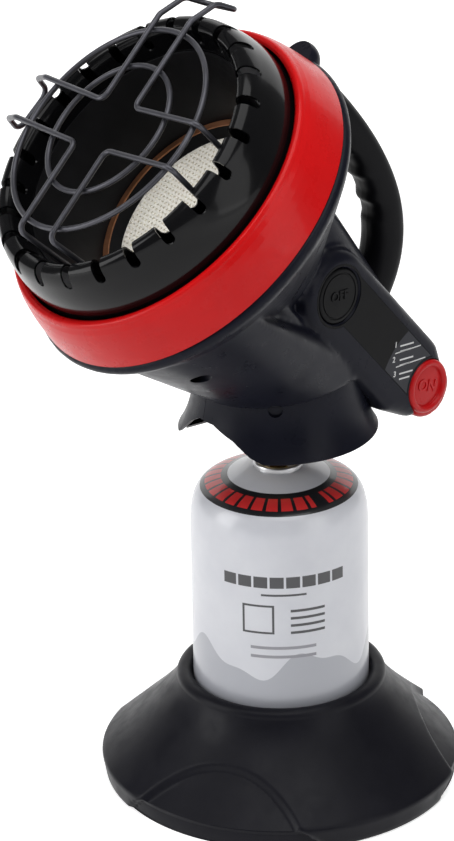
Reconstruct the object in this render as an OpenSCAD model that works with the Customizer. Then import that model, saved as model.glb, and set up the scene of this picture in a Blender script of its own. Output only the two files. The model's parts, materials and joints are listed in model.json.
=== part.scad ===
// Portable propane heater: a round tilted burner head on a screw-on gas
// cartridge that stands in a wide press-on foot.
// Frame: +Z up, floor at z = 0, cartridge axis through the origin,
// the burner looks towards -Y and upwards. Millimetres.

/* [Foot] */
// Outer radius of the foot at its widest
foot_r = 113.7; // [108:0.1:122]
// Height of the widest line above the floor
foot_belly_h = 13.5; // [8:0.5:20]
// Radius of the foot where it meets the floor
foot_floor_r = 111.7; // [104:0.1:112]
// Height of the top of the lip that grips the cartridge
lip_h = 69.5; // [64:0.5:76]
// Radius of the rolled lip
lip_roll = 5; // [3:0.5:6]
// Moulded wall of the foot
foot_wall = 3; // [2:0.5:4]
// Height of the ledges that carry the cartridge
ledge_h = 54; // [44:1:56]
// Radius of the smaller bore below the ledges
small_bore_r = 49.6; // [44:0.1:52]
// Number of ribs that form the ledges
rib_count = 12; // [6:1:18]
// Thickness of a rib
rib_t = 2.4; // [1.6:0.2:4]
// Number of arched panels round the foot
arch_count = 3; // [2:1:4]
// Height of an arch
arch_h = 40; // [24:1:42]
// Half the width of an arch at the floor
arch_half_w = 67; // [40:1:70]
// Depth of an arched panel behind the foot's surface
arch_depth = 3.6; // [1:0.2:4]
// Direction of the first arch, from +X
arch_turn = -55.8; // [-90:0.1:90]

/* [Cartridge] */
// Outer diameter of the cartridge
can_d = 110; // [100:0.5:112]
// Sheet thickness of the cartridge
can_wall = 0.8; // [0.4:0.1:1.5]
// Height of the straight side
can_side_h = 111.4; // [90:0.5:130]
// Height of the shoulder above the straight side
can_shoulder_h = 34; // [26:0.5:38]
// Radius where the shoulder meets the dome
can_dome_r = 36; // [30:0.5:40]
// Rise of the dome from the shoulder to the valve cup
can_dome_h = 7.2; // [4:0.2:9]
// Outer radius of the crimped valve cup
cup_r = 15.6; // [14:0.1:17]
// Height of the crimp above the dome
cup_h = 3.6; // [2:0.1:5]
// Outer diameter of the valve's threaded boss
boss_d = 11.1; // [10:0.1:12]
// Height of the boss above the crimp
boss_h = 6; // [4:0.5:9]
// Diameter of the valve stem
stem_d = 3.4; // [2:0.1:4]

/* [Fits] */
// Radial running gap between turning or sliding metal parts
run_gap = 0.08; // [0.03:0.01:0.1]
// Gap between parts that move past each other
move_gap = 0.35; // [0.25:0.05:0.6]
// Radial gap between the cartridge and the foot's lip
can_gap = 0.6; // [0.4:0.1:1]
// Gap between parts that are assembled and stay still
seat_gap = 0.15; // [0.05:0.05:0.3]

/* [Burner head] */
// Height where the head's axis crosses the cartridge axis
head_z = 321; // [315:0.5:330]
// Rise of the head's axis above the horizontal
head_rise = 47.4; // [40:0.2:55]
// Outer radius of the red trim ring at its rear edge
ring_rear_r = 111.2; // [108:0.1:114]
// Outer radius of the red trim ring just behind its front lip
ring_front_r = 105.6; // [103:0.1:108]
// Front inner radius of the red trim ring
ring_lip_r = 98.8; // [98:0.1:100]
// Wall of the red trim ring
ring_wall = 3; // [2:0.5:4]
// Distance of the trim ring's rear edge along the head's axis
ring_rear_t = 92.6; // [90:0.1:96]
// Distance of the trim ring's front along the head's axis
ring_front_t = 124.5; // [120:0.5:128]
// Radius of the bezel's skirt inside the trim ring
bezel_skirt_r = 97; // [94:0.1:97.4]
// Radius of the bezel where its slots end
bezel_slot_r = 93.6; // [90:0.1:95]
// Radius of the bezel's front edge
bezel_crest_r = 86; // [84:0.5:90]
// Inner radius of the bezel's rolled rim
bezel_inner_r = 80.5; // [78:0.5:82]
// Distance of the bezel's front edge along the head's axis
bezel_crest_t = 157.2; // [154:0.2:160]
// Sheet thickness of the bezel
bezel_wall = 1.2; // [0.8:0.1:2]
// Number of cooling slots round the bezel
slot_count = 24; // [12:1:36]
// Width of a cooling slot
slot_w = 6.4; // [4:0.2:8]
// Turn of the slot pattern from +X
slot_turn = 8.6; // [0:0.1:15]
// Radius of the visible ceramic disc
plaque_r = 58.3; // [50:0.1:62]
// Thickness of the ceramic plaque
plaque_t = 12; // [8:0.5:16]
// Distance of the plaque's face along the head's axis
plaque_face_t = 78; // [74:0.5:82]
// Distance of the bronze heat ring along the head's axis
heat_ring_t = 85; // [83:0.2:88]
// Inner radius of the bronze heat ring
heat_ring_r = 61.4; // [60:0.1:63]
// Width of the bronze heat ring
heat_ring_w = 3.9; // [2:0.1:5]
// Sheet thickness of the burner's inner parts
sheet = 1; // [0.6:0.1:1.5]

/* [Wire guard] */
// Diameter of the guard wire
wire_d = 3.4; // [2.5:0.1:4]
// Distance of the crossed wires along the head's axis
guard_t = 172.2; // [168:0.2:178]
// Radius of the inner ring
guard_ring_a = 43.5; // [36:0.5:48]
// Radius of the outer ring
guard_ring_b = 68.6; // [60:0.5:72]
// Half the spacing of a pair of wires
guard_half = 14.8; // [12:0.1:20]
// Turn of the guard about the head's axis
guard_turn = 8; // [-10:0.5:15]
// How much less the wires on the left are turned
guard_lag = 5; // [0:0.5:8]
// Radius at which the hooks leave the face of the guard
guard_knee = 79; // [76:0.5:82]
// Radius of a hook's shoulder
hook_shoulder_r = 97; // [92:0.5:98]
// Distance of a hook's shoulder along the head's axis
hook_shoulder_t = 164; // [160:0.5:168]
// Radius of a hook's tip
hook_r = 104; // [99:0.5:106]
// Distance of a hook's tip along the head's axis
hook_t = 148; // [142:0.5:152]

/* [Housing] */
// Wall of the moulded housing
wall = 2.6; // [2:0.2:3.5]
// Radius of the bead behind the trim ring
bead_r = 113; // [112:0.2:115]
// Width of the bead along the head's axis
bead_w = 8; // [5:0.5:12]
// Distance along the head's axis where the cone ends on the core
cone_t = 13; // [8:0.5:18]
// Half width of the housing's core
core_r = 40; // [38:0.5:43]
// Top of the core where it leaves the cone
core_top = 57; // [54:0.5:60]
// Line down to which the core's sides run, from the head's axis
core_low = 11; // [6:0.5:16]
// Height of the chin over the skirt
chin_z = 272; // [268:0.5:276]
// Radius of the chin
chin_r = 51.5; // [50:0.5:54]
// Tilt of the chin, lower in front
chin_tilt = 8; // [0:0.5:12]
// Radius of the neck inside the chin
neck_r = 50; // [47:0.5:51]
// Height of the neck's top
neck_z = 284; // [280:0.5:288]
// Radius of the skirt's lower edge
skirt_r = 61; // [58:0.5:64]
// Height of the skirt's lower edge
skirt_z = 233.5; // [230:0.5:236]
// Height of the cut-out at the front of the skirt
skirt_cut_h = 16.5; // [8:0.5:18]
// Reach of that cut-out to the right
skirt_cut_right = 46; // [30:0.5:48]
// Reach of that cut-out to the left
skirt_cut_left = 26; // [20:0.5:44]
// Radius of the lug behind the ring's top
lug_r = 12; // [8:0.5:13]

/* [Control arm] */
// Centre of the OFF button, sideways from the head's axis
panel_x = 50; // [46:0.5:54]
// Centre of the OFF button, up from the head's axis
panel_y = 15.5; // [12:0.5:20]
// Centre of the OFF button along the head's axis
panel_t = -0.9; // [-6:0.1:4]
// Upward tilt of the control panel
panel_tilt = 10; // [0:0.5:14]
// Rearward taper of the control panel
panel_taper = 8; // [4:0.5:12]
// Distance between the two buttons
button_pitch = 112.5; // [108:0.1:114]
// Half width of the control arm
arm_half_w = 28; // [26:0.5:30]
// Length of the arm behind the OFF button
arm_l = 120.5; // [118:0.5:123]
// Depth of the arm
arm_depth = 62; // [56:0.5:66]
// Rounding of the arm's long edges
arm_round = 8; // [6:0.5:10]
// Diameter of the OFF button
off_d = 34; // [28:0.2:36]
// Travel of the OFF button
off_travel = 3; // [2:0.1:4]
// Diameter of the ON button
on_d = 34.6; // [33:0.2:36]
// Travel of the ON button
on_travel = 5; // [3:0.1:6]
// Height of the ON button's body
on_h = 24; // [18:0.5:28]

/* [Handle] */
// Width of the handle
handle_w = 26; // [22:0.5:32]
// Radial thickness of the handle
handle_t = 23; // [19:0.5:25]
// Depth of the finger grooves
finger_d = 2; // [0:0.2:3]
// Number of finger grooves
finger_count = 4; // [2:1:5]

/* [Hidden] */
$fn = 96;

can_r = can_d / 2;
can_z = ledge_h + move_gap;
shoulder_z = can_z + can_side_h;
dome_z = shoulder_z + can_shoulder_h;
cup_z = dome_z + can_dome_h;
cup_top = cup_z + cup_h;
cup_in_r = cup_r - 2.9;
cup_deep = 4;
boss_top = cup_top + boss_h;
stem_drop = 1.5;
seal_t = 1.2;
// gas inlet and regulator, up the cartridge axis
fit_r = 12;
fit_z = cup_top + 0.8;
fit_top = fit_z + 26;
bore_top = boss_top + seal_t + 2 * seat_gap;
pin_r = 1.2;
reg_r = 22;
reg_h = 12;
reg_top = fit_top + reg_h;
diaphragm_t = 1;
bonnet_z = reg_top + diaphragm_t;
bonnet_h = 17;
bonnet_r = 14;
bonnet_bore = 11;
// flare of the foot between its lip and its belly
lip_mid_r = can_r + can_gap + lip_roll;
lip_mid_z = lip_h - lip_roll;
flare_in = 3.5;
flare_drop = 8.5;
belly_pull = 37.7;
belly_lift = 32.5;
// burner inner parts along the head's axis
ledge_t = 74;
mouth_r = 96.4;
ledge_r = 90;
pan_r = bezel_skirt_r - bezel_wall - seat_gap;
pan_top = 120;
plenum_r = 64;
plenum_back = 52;
mixer_r = 14;
mixer_back = -12;
jet_len = 14;
tube_r = 3;
reflector_foot_r = heat_ring_r + heat_ring_w + 0.6;
reflector_top_t = 139;
reflector_top_r = 76.8;
slot_axis_t = 147.1;
slot_rise = 12;
leg_end_t = 126;
leg_end_r = 71.6;
spigot_t = 98;
// control arm and its bores, in the panel's frame
button_shift = 3;
off_r = off_d / 2;
on_r = on_d / 2;
off_deep = 10;
pocket_deep = on_h + on_travel + 1;
// outline of the button's end, from the centre of its round part
thumb_shape = [[-3.5, 16.4], [11.5, 16], [16, 14], [20, 8.5], [22, 1.5], [21.5, -5], [17.5, -12.5],
    [11, -17.5], [5, -18.2], [-4, -15.8]];
valve_x = button_pitch - 6;
valve_y = -5;
piezo_y = 8;
valve_r = 7;
valve_top = -32;
piezo_r = 5;
vent_r = 5;
vent_top = -12;
vent_bottom = -26;
bay_top = -36;
bay_bottom = -56;
bay_half_w = 14.5;
tube_z = -42;
plunger_r = 2.5;
button_top = 4;
label_t = 0.5;
label_r = 19.6;
label_low = 11;
label_high = 18.4;
lead_r = 1.1;
rim_r = 14.8;
off_proud = -0.6;
// probes through the reflector's wall, turned from +X about the head's axis
bezel_rear_t = 112;
bezel_end_r = 77;
bezel_end_t = 138;
gasket_t = 65;
jet_r = 4;
plaque_rings = 6;
probe_t = 95;
probe_ring = 68;
probe_r = 2.4;
pilot_r = 4;
insulator_r = 3.5;
spark_r = 1.3;
lead_ring = 80;
lead_bend_t = 66;
lead_step_r = 67;
lead_step_t = 49;
lead_turn = -36;
pilot_turn = -50;
spark_turn = -64;
coil_turn = -18;
guard_shift = 1.7;
leg_knee = 75.5;
grip_screws = [[61, -49.5], [101.5, 57]];
// centre line of the handle, up from the head's axis and along it
grip_path = [[ring_rear_r - 10, ring_rear_t], [ring_rear_r - 6, 0.4], [core_top + 26, -49.5],
    [27.6, -58.6]];
// part of the handle that the finger grooves take up
grip_from = 0.15;
grip_to = 0.61;
// the handle ends on the lug behind the bead
grip_end_t = ring_rear_t - bead_w - 6;
lug_at = [-4, 110, 88];
// housing behind the head: cowl, core, and the corners of its upper half
cowl_t = 75;
cowl_top = -33;
core_back = -29;
core_front = 34;
corner_r = 20;
ledge_h_t = 5;
// how far a form that leaves another one starts under its surface
tuck = 0.25;
screw_r = 1.8;
screw_head_r = 3.4;
recess_r = 4.5;
boss_r = 6.5;
screw_seat = 12;
screw_deep = 13;
// screw places: neck screw in the object's frame, cheek screw in the head's
neck_screw = [0, -31.5, 265];
cheek_screw = [0, -70.3, 31];
// rear end of the housing's core
tail_t = -72;
tail_r = 32;
tail_y = 12;

function bez(a, b, c, d, n) = [for (i = [0:n]) let (t = i / n, s = 1 - t)
    s * s * s * a + 3 * s * s * t * b + 3 * s * t * t * c + t * t * t * d];
function unit(v) = v / norm(v);
function back(p) = [for (i = [len(p) - 1:-1:0]) p[i]];
// rounds the inner corners of a polyline by the radii in r
function soften(p, r, n) = [for (i = [0:len(p) - 1])
    if (i == 0 || i == len(p) - 1) p[i]
    else let (a = p[i] + unit(p[i - 1] - p[i]) * r[i], b = p[i] + unit(p[i + 1] - p[i]) * r[i])
        for (k = [0:n]) let (t = k / n) (1 - t) * (1 - t) * a + 2 * t * (1 - t) * p[i] + t * t * b];
function tangent(p, i) = unit(p[min(i + 1, len(p) - 1)] - p[max(i - 1, 0)]);
function tube_rings(p, r, sides, lean) = [for (i = [0:len(p) - 1])
    let (t = tangent(p, i), u = unit(cross(t, lean)), v = cross(t, u))
        [for (k = [0:sides - 1]) let (a = 360 * k / sides) p[i] + r * (cos(a) * u + sin(a) * v)]];
function coil_path(r, h, turns, n) = [for (i = [0:turns * n])
    let (a = 360 * i / n) [r * cos(a), r * sin(a), h * i / (turns * n)]];

// solid skin through a list of closed rings of points
module loft(rings) {
    n = len(rings[0]);
    m = len(rings);
    sides = [for (j = [0:m - 2]) for (i = [0:n - 1]) let (k = (i + 1) % n)
        each [[j * n + i, j * n + k, (j + 1) * n + k], [j * n + i, (j + 1) * n + k, (j + 1) * n + i]]];
    caps = [[for (i = [n - 1:-1:0]) i], [for (i = [0:n - 1]) (m - 1) * n + i]];
    polyhedron([for (r = rings) each r], concat(sides, caps), convexity = 8);
}

module wire(p, r, sides, lean) {
    loft(back(tube_rings(p, r, sides, lean)));
}

module ring(r_in, r_out, h) {
    difference() {
        cylinder(r = r_out, h = h);
        translate([0, 0, -1]) cylinder(r = r_in, h = h + 2);
    }
}

// places children in the head's frame: x sideways, y up the face, z forwards
module head() {
    translate([0, 0, head_z]) rotate([90 - head_rise, 0, 0]) children();
}

// places children in the panel's frame: x down the arm, z out of the panel
module panel() {
    head() translate([panel_x, panel_y, panel_t])
        rotate([0, 90 + panel_taper, panel_tilt]) children();
}

// ---- foot ----

function flare(inset) = bez([lip_mid_r + lip_roll - inset, lip_mid_z - inset * 0.7],
    [lip_mid_r + lip_roll + flare_in - inset, lip_mid_z - flare_drop - inset * 0.7],
    [foot_r - belly_pull - inset, foot_belly_h + belly_lift - inset * 0.7],
    [foot_r - inset, foot_belly_h - inset * 0.7], 16);

module foot_solid(inset, floor_z) {
    rotate_extrude()
        polygon(concat([[0, lip_mid_z - inset * 0.7]], flare(inset),
            [[foot_floor_r - inset, floor_z], [0, floor_z]]));
}

module arch(grow) {
    rotate([90, 0, 90]) linear_extrude(height = foot_r + 20)
        polygon(concat([[arch_half_w + grow, -2]],
            [for (i = [12:-1:-12]) let (u = i / 12)
                [u * (arch_half_w + grow), (arch_h + grow) * (1 - u * u)]],
            [[-arch_half_w - grow, -2]]));
}

module arches(grow) {
    for (k = [0:arch_count - 1])
        rotate([0, 0, arch_turn + 360 * k / arch_count])
            translate([can_r, 0, 0]) arch(grow);
}

module foot() {
    sleeve_r = can_r + can_gap;
    color([0.10, 0.10, 0.12]) union() {
        difference() {
            foot_solid(0, 0);
            difference() {
                arches(0);
                foot_solid(arch_depth, -3);
            }
            difference() {
                foot_solid(foot_wall, -1);
                arches(foot_wall);
            }
            foot_solid(foot_wall + arch_depth, -1);
            translate([0, 0, -1]) cylinder(r = sleeve_r, h = lip_h + 2);
        }
        rotate_extrude() translate([lip_mid_r, lip_mid_z]) circle(r = lip_roll);
        translate([0, 0, ledge_h - 24]) ring(sleeve_r, sleeve_r + foot_wall, lip_mid_z - ledge_h + 24);
        for (k = [0:rib_count - 1])
            rotate([0, 0, 360 * (k + 0.5) / rib_count]) intersection() {
                translate([small_bore_r, -rib_t / 2, foot_wall])
                    cube([foot_r, rib_t, ledge_h - foot_wall]);
                foot_solid(foot_wall + arch_depth - 1, 0);
            }
    }
}

// ---- cartridge ----

function can_outline(w) = concat(
    bez([0, can_z + 12 + w], [26, can_z + 12 + w], [can_r - 16, can_z + 7 + w], [can_r - 9 - w / 2, can_z + w], 8),
    bez([can_r - 7, can_z + w], [can_r - 3, can_z + w], [can_r - w, can_z + 3], [can_r - w, can_z + 8], 5),
    bez([can_r - w, shoulder_z], [can_r - w, shoulder_z + can_shoulder_h * 0.75 - w],
        [can_r - 4.5 - w, dome_z - 3.6 - w], [can_dome_r - w / 2, dome_z - w], 14),
    bez([can_dome_r - 1, dome_z + 0.3 - w], [can_dome_r - 8, dome_z + 2.6 - w],
        [cup_r + 6, cup_z - 0.6 - w], [cup_r, cup_z - w], 8),
    [[0, cup_z - w]]);

module cartridge_can() {
    color([0.86, 0.87, 0.90]) difference() {
        rotate_extrude() polygon(can_outline(0));
        rotate_extrude() polygon(can_outline(can_wall));
        translate([0, 0, cup_z - 6]) cylinder(r = cup_in_r + seat_gap, h = 12);
    }
}

module valve_cup() {
    lip = (cup_r - cup_in_r) / 2;
    color([0.80, 0.78, 0.70]) difference() {
        union() {
            translate([0, 0, cup_z]) ring(cup_in_r - 0.5, cup_r, cup_h - lip);
            rotate_extrude() translate([cup_r - lip, cup_top - lip]) circle(r = lip);
            translate([0, 0, cup_z - cup_deep]) ring(cup_in_r - 0.8, cup_in_r, cup_deep + cup_h - lip);
            translate([0, 0, cup_z - cup_deep]) ring(boss_d / 2 + seat_gap, cup_in_r, 0.8);
        }
        translate([0, 0, cup_z - cup_deep - 1]) cylinder(r = boss_d / 2 + seat_gap, h = 40);
    }
}

module cartridge_valve() {
    color([0.72, 0.60, 0.30]) difference() {
        union() {
            translate([0, 0, cup_z - cup_deep - 8]) cylinder(d = boss_d, h = boss_top - cup_z + cup_deep + 8);
            translate([0, 0, cup_z - cup_deep - 2 - seat_gap]) cylinder(r = boss_d / 2 + 2, h = 2);
        }
        translate([0, 0, cup_z - cup_deep - 6]) cylinder(d = stem_d + 2 * run_gap, h = 60);
    }
}

module valve_stem() {
    color([0.80, 0.70, 0.40]) translate([0, 0, cup_z - cup_deep - 6 + seat_gap])
        cylinder(d = stem_d, h = boss_top - stem_drop - (cup_z - cup_deep - 6 + seat_gap));
}

// ---- gas inlet and regulator ----

module inlet_fitting() {
    color([0.75, 0.60, 0.28]) difference() {
        union() {
            translate([0, 0, fit_z]) cylinder(r = fit_r, h = fit_top - fit_z);
            translate([0, 0, fit_z + 7]) cylinder(r = fit_r + 3, h = 9, $fn = 6);
        }
        translate([0, 0, fit_z - 1]) cylinder(r = boss_d / 2 + run_gap, h = bore_top - fit_z + 1);
        translate([0, 0, bore_top - 1]) cylinder(r = pin_r + seat_gap, h = fit_top);
    }
}

module inlet_seal() {
    color([0.08, 0.08, 0.08]) translate([0, 0, boss_top + seat_gap])
        ring(pin_r + 2, boss_d / 2 - 0.2, seal_t);
}

module valve_pin() {
    color([0.80, 0.70, 0.40]) translate([0, 0, boss_top - stem_drop + seat_gap])
        cylinder(r = pin_r, h = 10);
}

module regulator_body() {
    color([0.66, 0.67, 0.68]) difference() {
        translate([0, 0, fit_top]) cylinder(r = reg_r, h = reg_h);
        translate([0, 0, fit_top - 1]) cylinder(r = pin_r + 1, h = reg_h);
        translate([0, 0, reg_top - 3]) cylinder(r = reg_r - 4, h = 4);
        translate([0, 0, fit_top + reg_h / 2]) rotate([-90, 0, 0])
            cylinder(r = tube_r + seat_gap, h = reg_r + 1);
    }
}

module regulator_diaphragm() {
    color([0.12, 0.12, 0.12]) translate([0, 0, reg_top]) cylinder(r = reg_r - 1, h = diaphragm_t);
}

module regulator_bonnet() {
    color([0.66, 0.67, 0.68]) difference() {
        union() {
            translate([0, 0, bonnet_z]) cylinder(r = reg_r, h = 3.4);
            translate([0, 0, bonnet_z]) cylinder(r = bonnet_r, h = bonnet_h);
        }
        translate([0, 0, bonnet_z - 1]) cylinder(r = bonnet_bore, h = bonnet_h - 1);
    }
}

module regulator_spring() {
    h = bonnet_h - 3.6;
    color([0.55, 0.56, 0.58]) translate([0, 0, bonnet_z + 0.9])
        wire(coil_path(bonnet_bore - 2, h - 1.6, 5, 12), 0.7, 6, [0, 0, 1]);
}

// ---- housing ----

// cone behind the burner; w is the wall that a hollow leaves
module cone(w) {
    start = cone_t + w * (sqrt(2) - 1);
    end = w > 0 ? ledge_t - ledge_h_t : ring_rear_t - bead_w;
    head() {
        translate([0, 0, start])
            cylinder(r1 = core_r - w, r2 = core_r - w + end - start, h = end - start);
        if (w > 0) translate([0, 0, end - 1]) cylinder(r = ledge_r, h = ledge_h_t + 2);
    }
}

module tail_disc(w) {
    head() translate([0, tail_y, tail_t + w]) cylinder(r = tail_r - w, h = 2, $fn = 64);
}

module chin_disc(w) {
    translate([0, 0, chin_z]) rotate([chin_tilt, 0, 0])
        cylinder(r = w > 0 ? neck_r - w - tuck : chin_r, h = 3 + 2 * w, center = true, $fn = 64);
}

// upper half of the core, from the cone to the tail
module core(w) {
    hull() {
        head() for (x = [-1, 1])
            translate([x * (core_r - corner_r), core_top - corner_r, core_front - 2 * w])
                cylinder(r = corner_r - w, h = 1, $fn = 40);
        head() translate([0, -core_low, core_back + w])
            cylinder(r = core_r - w, h = -core_back - 2 * w, $fn = 48);
        tail_disc(w);
    }
}

// lower half of the core over the neck
module belly(w) {
    hull() {
        head() translate([0, -core_low, core_back + w]) cylinder(r = core_r - w - 2 * tuck, h = 2, $fn = 56);
        translate([0, -tuck, -tuck]) tail_disc(w + tuck);
        chin_disc(w);
    }
}

// cowl from the underside of the cone to the chin
module cowl(w) {
    end = w > 0 ? ledge_t - ledge_h_t - 1 : cowl_t;
    hull() {
        head() intersection() {
            translate([0, 0, end - 1])
                cylinder(r = core_r + end - 1 - cone_t - w * sqrt(2) - tuck, h = 1, $fn = 72);
            translate([-150, -300 + cowl_top - 2 * w, 0]) cube([300, 300, 200]);
        }
        head() intersection() {
            translate([0, -core_low, core_back + w])
                cylinder(r = core_r - w - tuck, h = -core_back - 3 * w, $fn = 40);
            translate([-150, -300 - core_low - tuck, core_back]) cube([300, 300, 200]);
        }
        chin_disc(w);
    }
}

// way from the hollow cone into the hollow core
module throat() {
    head() translate([0, -core_low / 2, -2 * wall]) cylinder(r = core_r - 3 * wall, h = cone_t + 4 * wall);
}

// control arm behind the core, with a slanted lower end
module arm() {
    r = arm_round;
    end = arm_l - r;
    panel() hull() {
        for (z = [-r, r - arm_depth]) translate([0, 0, z])
            rotate_extrude($fn = 36) translate([arm_half_w - r, 0]) circle(r = r, $fn = 16);
        for (z = [-r, r - arm_depth], p = [[arm_l - 19, arm_half_w - r], [end, 15],
                [end, -12], [arm_l - 28.5, r - arm_half_w]])
            translate([p[0], p[1], z]) sphere(r = r, $fn = 16);
    }
}

module skirt(w) {
    rotate_extrude() polygon(concat([[0, neck_z - w]],
        bez([neck_r - w, neck_z - w], [neck_r + 0.5 - w, neck_z - 22],
            [neck_r + 3 - w, skirt_z + 12.5], [skirt_r - w, skirt_z - (w > 0 ? 1 : 0)], 12),
        [[0, skirt_z - (w > 0 ? 1 : 0)]]));
}

module skirt_cut() {
    h = skirt_cut_h;
    translate([0, -fit_r - 12, skirt_z]) rotate([90, 0, 0]) linear_extrude(height = skirt_r)
        polygon([[-skirt_cut_left - 6, -9], [skirt_cut_right + 6, -9], [skirt_cut_right, 0],
            [skirt_cut_right - 8, h * 0.2], [skirt_cut_right - 20, h * 0.64], [10, h], [-4, h],
            [-skirt_cut_left * 0.54, h * 0.66], [-skirt_cut_left, 0]]);
}

// domed lug that the handle runs into behind the ring
module lug() {
    head() difference() {
        translate(lug_at) sphere(r = lug_r, $fn = 48);
        translate([-60, 0, ring_rear_t - seat_gap]) cube([120, 200, 60]);
    }
}

// bead, seat and spigot of the front rim
module rim() {
    back_t = ring_rear_t - bead_w;
    head() {
        translate([0, 0, back_t - 1]) cylinder(r = bead_r - 3, h = bead_w + 1);
        translate([0, 0, back_t + bead_w / 2]) rotate_extrude()
            translate([bead_r - bead_w / 2, 0]) circle(r = bead_w / 2 - 0.1);
        translate([0, 0, back_t - 2])
            cylinder(r = ring_rear_r - ring_wall - seat_gap, h = spigot_t - back_t + 2);
    }
}

// what stands inside the hollow: screw posts, button wells and the regulator's shelf
module inner_posts() {
    translate(neck_screw + [-80, 0, 0]) rotate([0, 90, 0]) cylinder(r = boss_r, h = 160);
    head() translate(cheek_screw + [-80, 0, 0]) rotate([0, 90, 0]) cylinder(r = boss_r, h = 160);
    panel() {
        translate([0, 0, -off_deep - wall]) cylinder(r = off_r + wall, h = 30);
        translate([0, 0, vent_bottom - wall]) cylinder(r = vent_r + wall, h = 30);
    }
    translate([0, 0, fit_top - wall]) ring(fit_r + 5, skirt_r, wall);
}

// recess from the +X cheek and pilot hole for a screw across the parting line
module screw_bore(at) {
    translate(at + [screw_seat, 0, 0]) rotate([0, 90, 0]) cylinder(r = recess_r, h = 90);
    translate(at + [-screw_deep, 0, 0]) rotate([0, 90, 0])
        cylinder(r = screw_r + seat_gap, h = screw_deep + screw_seat + 1);
}

module on_outline(grow) {
    circle(r = on_r + grow);
    polygon([for (p = thumb_shape) p + grow * unit(p)]);
}

module label_outline(grow) {
    difference() {
        union() {
            circle(r = label_r + grow);
            translate([0, -label_low - grow])
                square([button_pitch - 6, label_low + label_high + 2 * grow]);
        }
        circle(r = off_r + 1.4 - grow);
        translate([button_pitch, button_shift]) circle(r = on_r + 1.4 - grow);
    }
}

module housing_bores() {
    head() translate([0, 0, ledge_t]) cylinder(r = mouth_r, h = 60);
    panel() {
        translate([0, 0, -off_deep]) cylinder(r = off_r + move_gap, h = 40);
        translate([0, 0, vent_bottom]) cylinder(r = vent_r + seat_gap, h = 40);
        translate([button_pitch, button_shift, -pocket_deep])
            linear_extrude(height = 60) on_outline(move_gap);
        translate([valve_x, valve_y, bay_bottom]) cylinder(r = valve_r + seat_gap, h = 40);
        translate([valve_x, piezo_y, bay_bottom]) cylinder(r = piezo_r + seat_gap, h = 40);
        translate([-20, -bay_half_w, bay_bottom])
            cube([valve_x + 20, 2 * bay_half_w, bay_top - bay_bottom]);
        translate([0, 0, -label_t]) linear_extrude(height = 5) label_outline(seat_gap);
    }
}

module housing() {
    difference() {
        union() {
            cone(0);
            core(0);
            belly(0);
            cowl(0);
            arm();
            skirt(0);
            rim();
            lug();
        }
        difference() {
            union() {
                cone(wall);
                core(wall);
                belly(wall);
                cowl(wall);
                throat();
                skirt(wall);
            }
            inner_posts();
        }
        skirt_cut();
        housing_bores();
        screw_bore(neck_screw);
        head() screw_bore(cheek_screw);
    }
}

module half_space(side) {
    translate([side > 0 ? 0 : -300, -300, 0]) cube([300, 600, 600]);
}

module housing_left() {
    color([0.16, 0.16, 0.19]) intersection() {
        housing();
        half_space(-1);
    }
}

module housing_right() {
    color([0.16, 0.16, 0.19]) intersection() {
        housing();
        half_space(1);
    }
}

module screw(at, len) {
    color([0.2, 0.2, 0.2]) translate(at) rotate([0, 90, 0]) {
        cylinder(r = screw_head_r, h = 2.6);
        translate([0, 0, 1 - len]) cylinder(r = screw_r, h = len);
    }
}

module housing_screws() {
    screw(neck_screw + [screw_seat, 0, 0], screw_seat + screw_deep);
    head() screw(cheek_screw + [screw_seat, 0, 0], screw_seat + screw_deep);
}

module tip_switch() {
    color([0.3, 0.3, 0.32]) translate([-42, -6, fit_top]) difference() {
        cube([12, 12, 18]);
        translate([6, 6, 3]) cylinder(r = 4, h = 12);
    }
}

// ---- burner head ----

// closed profile of a sheet of thickness w on the right of polyline p
function sheet_outline(p, w) = concat(p, back([for (i = [0:len(p) - 1])
    let (t = tangent(p, i)) p[i] + w * [t[1], -t[0]]]));

module trim_ring() {
    color([0.80, 0.09, 0.09]) head() rotate_extrude() polygon(concat(
        bez([ring_rear_r, ring_rear_t], [ring_rear_r - 1.2, ring_rear_t + 9],
            [ring_front_r + 1.6, ring_front_t - 8], [ring_front_r - 1, ring_front_t - 3.6], 6),
        bez([ring_front_r - 1.4, ring_front_t - 2.4], [ring_front_r - 2.6, ring_front_t],
            [ring_lip_r + 3.6, ring_front_t], [ring_lip_r + 1.4, ring_front_t - 0.6], 6),
        [[ring_lip_r, ring_front_t - 1.6], [ring_lip_r, ring_front_t - 3],
            [ring_front_r - 5.4, ring_front_t - 3.8],
            [ring_front_r - ring_wall - 0.6, ring_front_t - 6.4],
            [ring_rear_r - ring_wall, spigot_t + 0.5], [ring_rear_r - ring_wall, ring_rear_t]]));
}

module shroud_pan() {
    color([0.70, 0.70, 0.71]) head() difference() {
        union() {
            translate([0, 0, ledge_t]) ring(plenum_r + seat_gap, pan_r, sheet);
            translate([0, 0, ledge_t]) ring(pan_r - sheet, pan_r, pan_top - ledge_t);
            translate([0, 0, bezel_rear_t - sheet]) ring(pan_r - sheet, bezel_skirt_r, sheet);
        }
        for (a = [lead_turn, coil_turn]) rotate([0, 0, a])
            translate([lead_ring, 0, ledge_t - 1]) cylinder(r = 3, h = 4);
    }
}

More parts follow.
